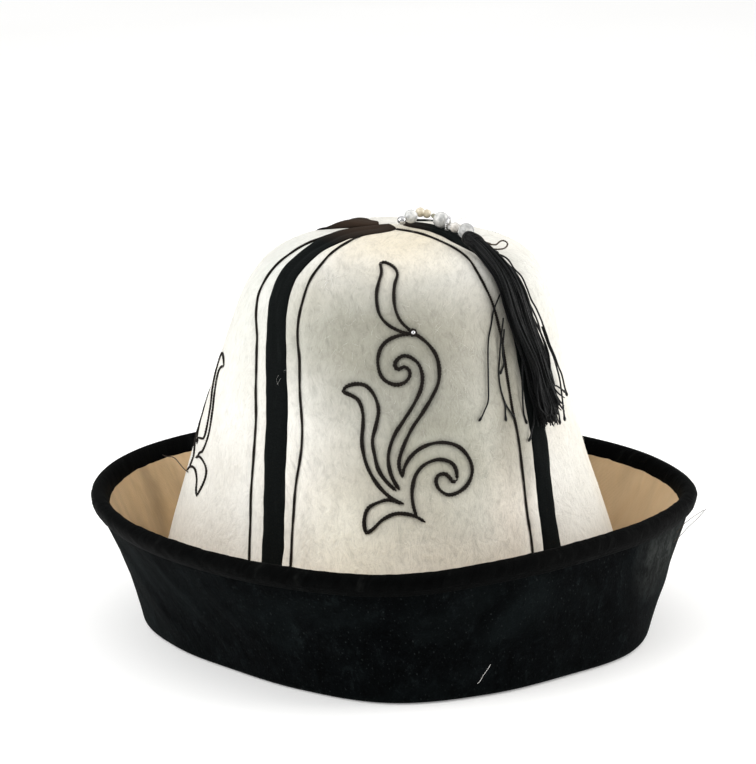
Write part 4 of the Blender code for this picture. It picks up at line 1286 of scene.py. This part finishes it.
soup = Soup()
along = np.linspace(-0.98, 0.98, 16)
turn = np.linspace(0, 2 * math.pi, 24, endpoint=False)
A, T = np.meshgrid(along, turn, indexing="ij")
body = head_point(A, T, 0.90)
tips = np.stack([body[0].mean(0), body[-1].mean(0)])
k = np.arange(24)
soup.add(np.concatenate([body.reshape(-1, 3), tips]), grid(16, 24, True),
         np.concatenate([np.stack([np.full(24, 384), (k + 1) % 24, k], -1),
                         np.stack([np.full(24, 385), 360 + k, 360 + (k + 1) % 24], -1)]))
# threads laid over the head from its top, a short winding at the top
for k in range(40):
    a = 2 * math.pi * k / 40
    way = np.linspace(0.97, -0.95, 18)
    path = head_point(way, a + 0.20 * np.sin(way * 2 + k), 0.94)
    soup.add(*tubes(path, 0.31, 5, np.broadcast_to(down + 0.3 * side, path.shape)))
f = np.linspace(0, 1, 200)
wind = head_point(0.56 + 0.26 * f, 2 * math.pi * 4.0 * f + 1.0, 0.98)
soup.add(*tubes(wind, 0.34, 6, np.broadcast_to(down, wind.shape)))
soup.build("tassel_knot", SILK, "tassel_thread", ("tassel_head",))

# the thread through the beads
string = np.concatenate([[bead_places[0] - string_way[0] * 2.2 - [0, 0, 1.4]], string_stops,
                         [head_at - down * HEAD[0] * 0.9]])
knots = np.concatenate([[0.0], np.cumsum(np.linalg.norm(np.diff(string, axis=0), axis=1))])
fine = open_curve(knots, string, np.linspace(0, knots[-1], 180))
ref = np.broadcast_to([0.0, 0.0, 1.0], fine.shape)
twist = np.linspace(0, 2 * math.pi * knots[-1] / 1.6, 180)
e1 = unit(np.cross(np.gradient(fine, axis=0), ref))
e2 = np.cross(unit(np.gradient(fine, axis=0)), e1)
soup = Soup()
for ply in (0.0, math.pi):
    path = fine + 0.17 * (e1 * np.cos(twist + ply)[:, None] + e2 * np.sin(twist + ply)[:, None])
    soup.add(*tubes(path, 0.19, 5, ref))
soup.build("bead_thread", HAIR, "tassel_thread")



# ------------------------------------------------------------------ loose threads, lint and fuzz
def thread_on(soup, points, radius, lift, sides=5, seed=0):
    """A fine thread on the felt through (azimuth, up) places, wavering a little."""
    rng = np.random.default_rng(seed)
    path = smooth_path(points, 1.2)
    n = len(path)
    f = np.linspace(0, 1, n)
    sway = 0.35 * np.sin(f * n / 5.0 + rng.uniform(0, 6)) + 0.2 * np.sin(f * n / 2.3 + rng.uniform(0, 6))
    azimuth = path[:, 0] + np.degrees(sway / np.maximum(outline(path[:, 1])[..., 1], 4.0))
    over = lift + 0.25 * (1 + np.sin(f * n / 6.0 + rng.uniform(0, 6)))
    p, normal, _, _ = on_crown(azimuth, path[:, 1], over)
    soup.add(*tubes(p, radius * np.clip(np.minimum(f, 1 - f) * 20, 0.4, 1.0), sides, normal))


LOOSE = [
    # single threads of the tassel, as places (azimuth, up the outline, height over the felt)
    [(-41.0, 174.0, 6.0), (-35.0, 170.5, 5.0), (-31.5, 166.5, 4.0), (-33.0, 161.0, 4.0), (-32.0, 157.0, 4.0),
     (-32.0, 152.0, 4.0), (-31.5, 147.0, 4.0), (-30.0, 143.0, 4.0), (-28.4, 137.5, 4.0), (-27.3, 131.5, 4.0),
     (-26.0, 127.0, 3.5), (-24.5, 122.0, 3.5), (-22.5, 117.0, 3.0), (-21.0, 113.0, 3.0),
     (-19.6, 107.5, 2.5), (-19.0, 103.5, 2.5)],
    [(-38.0, 166.0, 4.5), (-34.5, 160.5, 4.0), (-34.5, 155.0, 4.0), (-33.5, 148.5, 4.0), (-32.0, 142.5, 4.0),
     (-30.8, 137.5, 4.0), (-30.3, 132.5, 4.0), (-29.3, 127.5, 4.0), (-28.0, 122.5, 3.0),
     (-27.8, 118.5, 3.0), (-27.5, 114.5, 3.0), (-27.5, 110.5, 3.0)],
    [(-28.5, 135.0, 3.5), (-26.2, 127.0, 3.0), (-24.5, 122.0, 3.0), (-23.0, 117.0, 2.5), (-22.5, 112.0, 2.5),
     (-22.0, 106.5, 2.0), (-22.5, 101.5, 2.0), (-23.5, 94.5, 2.0)],
    [(-29.0, 112.5, 3.0), (-27.5, 110.5, 3.0), (-26.0, 110.0, 3.0), (-23.5, 108.0, 3.0), (-20.0, 105.5, 2.5)],
    [(-29.5, 111.0, 3.0), (-28.5, 106.5, 3.0), (-27.5, 102.0, 2.5), (-26.5, 98.0, 2.0), (-26.5, 94.0, 1.5)],
    [(-42.0, 157.0, 3.0), (-44.5, 154.5, 2.5), (-47.0, 151.5, 1.5), (-50.5, 146.5, 1.0), (-52.5, 140.5, 0.8),
     (-54.3, 135.0, 0.8), (-55.5, 127.0, 0.8), (-56.2, 119.0, 0.8), (-57.0, 111.0, 0.8),
     (-59.0, 107.0, 0.8), (-60.5, 104.5, 0.8), (-61.5, 103.5, 0.8)],
    [(-48.0, 142.5, 3.0), (-49.4, 137.0, 2.5), (-50.0, 131.5, 1.5), (-50.6, 126.0, 1.0), (-51.3, 121.5, 0.8),
     (-51.5, 118.5, 0.8), (-51.4, 114.0, 0.8), (-50.5, 109.0, 0.8), (-49.0, 105.5, 0.8), (-47.0, 102.0, 0.8)],
    [(-51.0, 111.0, 0.8), (-50.6, 107.5, 0.8), (-50.9, 104.5, 0.8), (-51.0, 101.5, 0.8)],
    [(-48.5, 138.0, 3.0), (-49.0, 132.0, 2.0), (-49.0, 128.0, 1.2), (-48.6, 124.5, 0.8), (-49.5, 122.5, 0.8),
     (-51.0, 120.5, 0.8)],
    [(-41.5, 124.5, 3.0), (-42.0, 118.5, 2.5), (-42.6, 112.5, 2.0), (-43.0, 107.5, 1.5), (-43.0, 103.5, 1.0),
     (-42.5, 100.5, 0.8), (-42.0, 98.5, 0.8)],
    [(-38.5, 103.5, 2.0), (-39.5, 98.5, 1.8), (-41.0, 95.5, 1.6), (-42.0, 93.0, 1.4), (-43.0, 91.5, 1.2)],
]
soup = Soup()
for number, points in enumerate(LOOSE):
    rows = smooth_path(points, 0.7)
    f = np.linspace(0, 1, len(rows))
    away = 0.10 * np.sin(f * len(rows) / 6.0 + number)
    path, normal, _, _ = on_crown(rows[:, 0] + away, rows[:, 1], np.maximum(rows[:, 2], 0.45))
    soup.add(*tubes(path, strand_thickness(0.36, path, 1.75), 6, normal))
soup.build("tassel_strays", SILK, "tassel_thread")

# the tail of the string's knot: a small loop that stands off the tassel's shoulder
soup = Soup()
rows = smooth_path([(-41.0, 177.5, 6.4), (-38.0, 175.8, 6.4), (-32.0, 174.6, 5.8), (-28.5, 173.6, 5.2),
                    (-26.2, 173.7, 5.2), (-23.6, 173.8, 5.2), (-21.4, 173.2, 5.2), (-21.8, 171.6, 5.2),
                    (-24.6, 170.5, 5.2), (-28.2, 170.2, 5.2), (-30.6, 171.2, 5.0), (-31.4, 172.8, 4.4)], 0.5)
loop, normal, _, _ = on_crown(rows[:, 0], rows[:, 1], rows[:, 2])
f = np.linspace(0, 1, len(loop))
e1 = unit(np.cross(np.gradient(loop, axis=0), normal))
e2 = np.cross(unit(np.gradient(loop, axis=0)), e1)
for ply in (0.0, math.pi):
    a = f * len(loop) * 0.5 * 2 * math.pi / 1.7 + ply
    soup.add(*tubes(loop + 0.19 * (e1 * np.cos(a)[:, None] + e2 * np.sin(a)[:, None]), 0.23, 5, normal))
soup.build("knot_tail", TAIL, "tassel_thread")
# two fine ends of the string's thread
soup = Soup()
for rows in ([(-36.0, 188.5, 6.0), (-33.0, 191.0, 8.6), (-24.0, 190.2, 9.2), (-18.0, 188.0, 9.2), (-13.0, 186.0, 8.4)],
             [(-38.0, 181.0, 6.0), (-33.0, 180.0, 7.2), (-29.0, 178.5, 7.6), (-26.0, 177.5, 7.0)]):
    rows = smooth_path(rows, 0.6)
    path, normal, _, _ = on_crown(rows[:, 0], rows[:, 1], rows[:, 2])
    soup.add(*tubes(path, 0.10, 4, normal))
soup.build("thread_ends", LINT, "tassel_thread")

# the knot where the top leaf leaves the scroll, with the small bright bead in it
azimuth = float(on_gore(0, np.float64(6.3), np.float64(140.6)))
p, normal, down, side = (np.asarray(x) for x in on_crown(np.float64(azimuth), np.float64(140.6), 0.0))
soup = Soup()
for k in range(7):
    a = 2 * math.pi * k / 7
    out = side * math.cos(a) + down * math.sin(a)
    soup.add(*turned_body(ball(0.72, 0.12, 10), p + normal * 0.55 + out * 1.05, out, normal, 12))
soup.build("scroll_knot", CORD, "ribbon")
Soup().add(*turned_body(ball(0.92, 0.25, 14), p + normal * 1.0, side, normal, 20)).build(
    "scroll_bead", SILVER, "silver_bead")


def hairs(count, seed, length, radius, gore_span, ups, rise, tip_lift=0.9):
    """Short curved fibres on the felt; returns paths and radii."""
    rng = np.random.default_rng(seed)
    azimuth = rng.uniform(*gore_span, count)
    up = CROWN_LENGTH * rng.uniform(*ups, count)
    size = rng.uniform(*length, count)
    heading = rng.normal(0.0, 0.9, count) + math.pi / 2 * rng.choice([-1, 1], count)
    bend = rng.normal(0, 0.4, count)
    f = np.linspace(0, 1, 5)[None, :]
    angle = heading[:, None] + bend[:, None] * f
    r = np.maximum(outline(up)[..., 1], 4.0)[:, None]
    along = size[:, None] * f
    up_at_f = up[:, None] + along * np.sin(angle)
    az_at_f = azimuth[:, None] + np.degrees(along * np.cos(angle) / r)
    lift = 0.08 + rise * rng.gamma(1.2, 1.0, (count, 1)) * np.sin(f * math.pi * rng.uniform(0.45, 1.0, (count, 1))) * tip_lift
    p, normal, _, _ = on_crown(az_at_f, up_at_f, lift)
    thick = rng.uniform(*radius, (count, 1)) * np.array([[0.6, 1.0, 0.9, 0.7, 0.3]])
    clear = np.ones(count, bool)             # none over the ribbons, the tassel or the beads
    for seam in range(4):
        d = np.radians((az_at_f - seam_azimuth(seam, up_at_f) + 180) % 360 - 180) * r
        clear &= (np.abs(d) > 7.5).all(1)
    over = (np.abs((azimuth + 36.0 + 180) % 360 - 180) < 24) & (up > 90)
    return p[clear & ~over], normal[clear & ~over], thick[clear & ~over]


soup = Soup()
p, normal, r = hairs(3000, 21, (1.4, 4.2), (0.022, 0.038), (-180.0, 180.0), (0.26, 0.945), 0.16)
soup.add(*tubes(p, r, 3, normal))
soup.build("felt_fuzz", HAIR, "felt")

soup = Soup()
LINT_SPOTS = [
    # azimuth, up, spread mm, fibres, height over the felt
    (-121.3, 160.8, 2.0, 14, 0.30),
    (-130.6, 119.4, 1.6, 3, 1.10),
]
rng = np.random.default_rng(31)
for azimuth, up, spread, count, height in LINT_SPOTS:
    r = float(outline(np.float64(up))[..., 1])
    start = rng.normal(0, spread / 2, (count, 2))
    heading = rng.uniform(0, 6.28, count)
    f = np.linspace(0, 1, 7)[None]
    size = rng.uniform(2.0, 6.0, (count, 1))
    angle = heading[:, None] + rng.normal(0, 1.6, (count, 1)) * f
    x = start[:, :1] + size * f * np.cos(angle)
    y = start[:, 1:] + size * f * np.sin(angle)
    q, normal, _, _ = on_crown(azimuth + np.degrees(x / r), up + y, height + 0.4 * np.sin(f * 3.0))
    soup.add(*tubes(q, 0.055 if count > 5 else 0.028, 3, normal))
soup.build("lint", LINT, "felt")

# a loose brown thread that runs from the left gore over the lining
start, normal, _, _ = on_crown(np.float64(-175.0), np.float64(65.5), 0.5)
end = wall(np.float64(147.5), np.float64(0.90), np.float64(COVER + GAP + LINING + 1.3))
f = np.linspace(0, 1, 40)[:, None]
path = start + (end - start) * f + np.array([0.0, 0.0, 1.0]) * (1.6 * np.sin(f * 3.14) - 0.5 * np.sin(f * 9.0))
Soup().add(*tubes(path, 0.22, 5, np.broadcast_to([0.0, 1.0, 0.0], path.shape))).build(
    "loose_thread", TAIL, "ribbon")

# one white lint on the velvet, as rows (azimuth, share of the wall), and two fine hairs that
# stand off the brim at the right, as points in mm
# (both in the CAD frame)
LINT_ON_VELVET = [(-71.0, 0.075), (-69.6, 0.14), (-69.0, 0.185), (-68.5, 0.215)]
HAIRS_OFF_BRIM = [[(112.5, -25.0, 40.5), (117.1, -25.0, 45.1), (120.7, -25.5, 49.4), (124.7, -26.0, 53.7), (127.9, -26.0, 57.5)],
                  [(112.0, -25.0, 43.5), (115.9, -25.0, 46.8), (119.1, -25.0, 50.7), (122.7, -25.0, 53.7), (127.1, -25.0, 56.7)]]
rows = smooth_path(LINT_ON_VELVET, 0.02)
path = wall(rows[:, 0], rows[:, 1], -0.75 - 0.3 * np.sin(np.linspace(0, 9, len(rows))))
Soup().add(*tubes(path, 0.11, 4, unit(path * [1, 1, 0]))).build("velvet_lint", LINT, "velvet")
soup = Soup()
for points in HAIRS_OFF_BRIM:
    points = np.array(points)
    knots = np.concatenate([[0.0], np.cumsum(np.linalg.norm(np.diff(points, axis=0), axis=1))])
    path = open_curve(knots, points, np.linspace(0, knots[-1], 40))
    soup.add(*tubes(path, 0.13, 4, np.broadcast_to([0.0, 1.0, 0.0], path.shape)))
soup.build("brim_hairs", TAIL, "velvet")

# ------------------------------------------------------------------ studio
floor_mesh = bpy.data.meshes.new("studio_floor")
sides, reach = 96, [0.0, 0.25, 0.6, 1.4, 3.5, 9.0]
ring = np.array([[0.0, 0.0, 0.0]] + [[r * math.cos(2 * math.pi * k / sides), r * math.sin(2 * math.pi * k / sides), 0.0]
                                     for r in reach[1:] for k in range(sides)])
faces = [(0, 1 + k, 1 + (k + 1) % sides) for k in range(sides)]
for row in range(len(reach) - 2):
    a = 1 + row * sides
    faces += [(a + k, a + sides + k, a + sides + (k + 1) % sides, a + (k + 1) % sides) for k in range(sides)]
floor_mesh.from_pydata([tuple(v) for v in ring - [0, 0, 0.00005]], [], faces)
floor_mesh.materials.append(floor_look())
floor = bpy.data.objects.new("studio_floor", floor_mesh)
bpy.context.scene.collection.objects.link(floor)

world = bpy.data.worlds.new("studio")
world.use_nodes = True
world.node_tree.nodes["Background"].inputs["Color"].default_value = (0.985, 0.992, 1.0, 1.0)
world.node_tree.nodes["Background"].inputs["Strength"].default_value = 0.22
bpy.context.scene.world = world

LIGHTS = [
    # name, x, y, z (m), size x, size y (m), power (W), colour, aimed at height (m)
    ("left_panel", -1.02, -0.20, 0.40, 0.9, 0.8, 6.2, (1.0, 1.0, 1.0), 0.09),
    ("key_panel", -0.75, -0.85, 1.05, 0.6, 0.6, 6.0, (1.0, 1.0, 0.99), 0.06),
    ("right_panel", 1.02, 0.05, 0.40, 0.9, 0.8, 10.4, (1.0, 0.985, 0.965), 0.09),
    ("ceiling", 0.0, 1.20, 2.60, 7.0, 7.0, 140.0, (1.0, 0.995, 0.985), 0.0),
    ("front_fill", -0.30, -1.70, 0.70, 1.1, 0.5, 2.2, (1.0, 0.99, 0.975), 0.05),
]
for name, x, y, z, wide, tall, power, colour, aim in LIGHTS:
    light = bpy.data.lights.new(name, "AREA")
    light.shape = "RECTANGLE"
    light.size, light.size_y = wide, tall
    light.energy = power
    light.color = colour
    obj = bpy.data.objects.new(name, light)
    obj.location = (x, y, z)
    if name != "ceiling":
        way = Vector((0.0, 0.0, aim)) - Vector((x, y, z))
        obj.rotation_euler = way.to_track_quat("-Z", "Y").to_euler()
    bpy.context.scene.collection.objects.link(obj)

camera = bpy.data.cameras.new("camera")
camera.sensor_width = 36.0
camera.sensor_fit = "AUTO"
camera.lens = 1300.0 / 0.415 * 36.0 / 764.0
camera.clip_start = 0.01
camera.clip_end = 30.0
camera_obj = bpy.data.objects.new("camera", camera)
look_down = math.radians(14.0)
target = Vector((-6.731, 1.0546, 104.36)) * MM
camera_obj.location = target + 1.3 * Vector((0.0, -math.cos(look_down), math.sin(look_down)))
camera_obj.rotation_euler = (math.pi / 2 - look_down, 0.0, 0.0)
bpy.context.scene.collection.objects.link(camera_obj)
bpy.context.scene.camera = camera_obj
bpy.context.scene.view_settings.view_transform = "Standard"

bpy.context.view_layer.update()
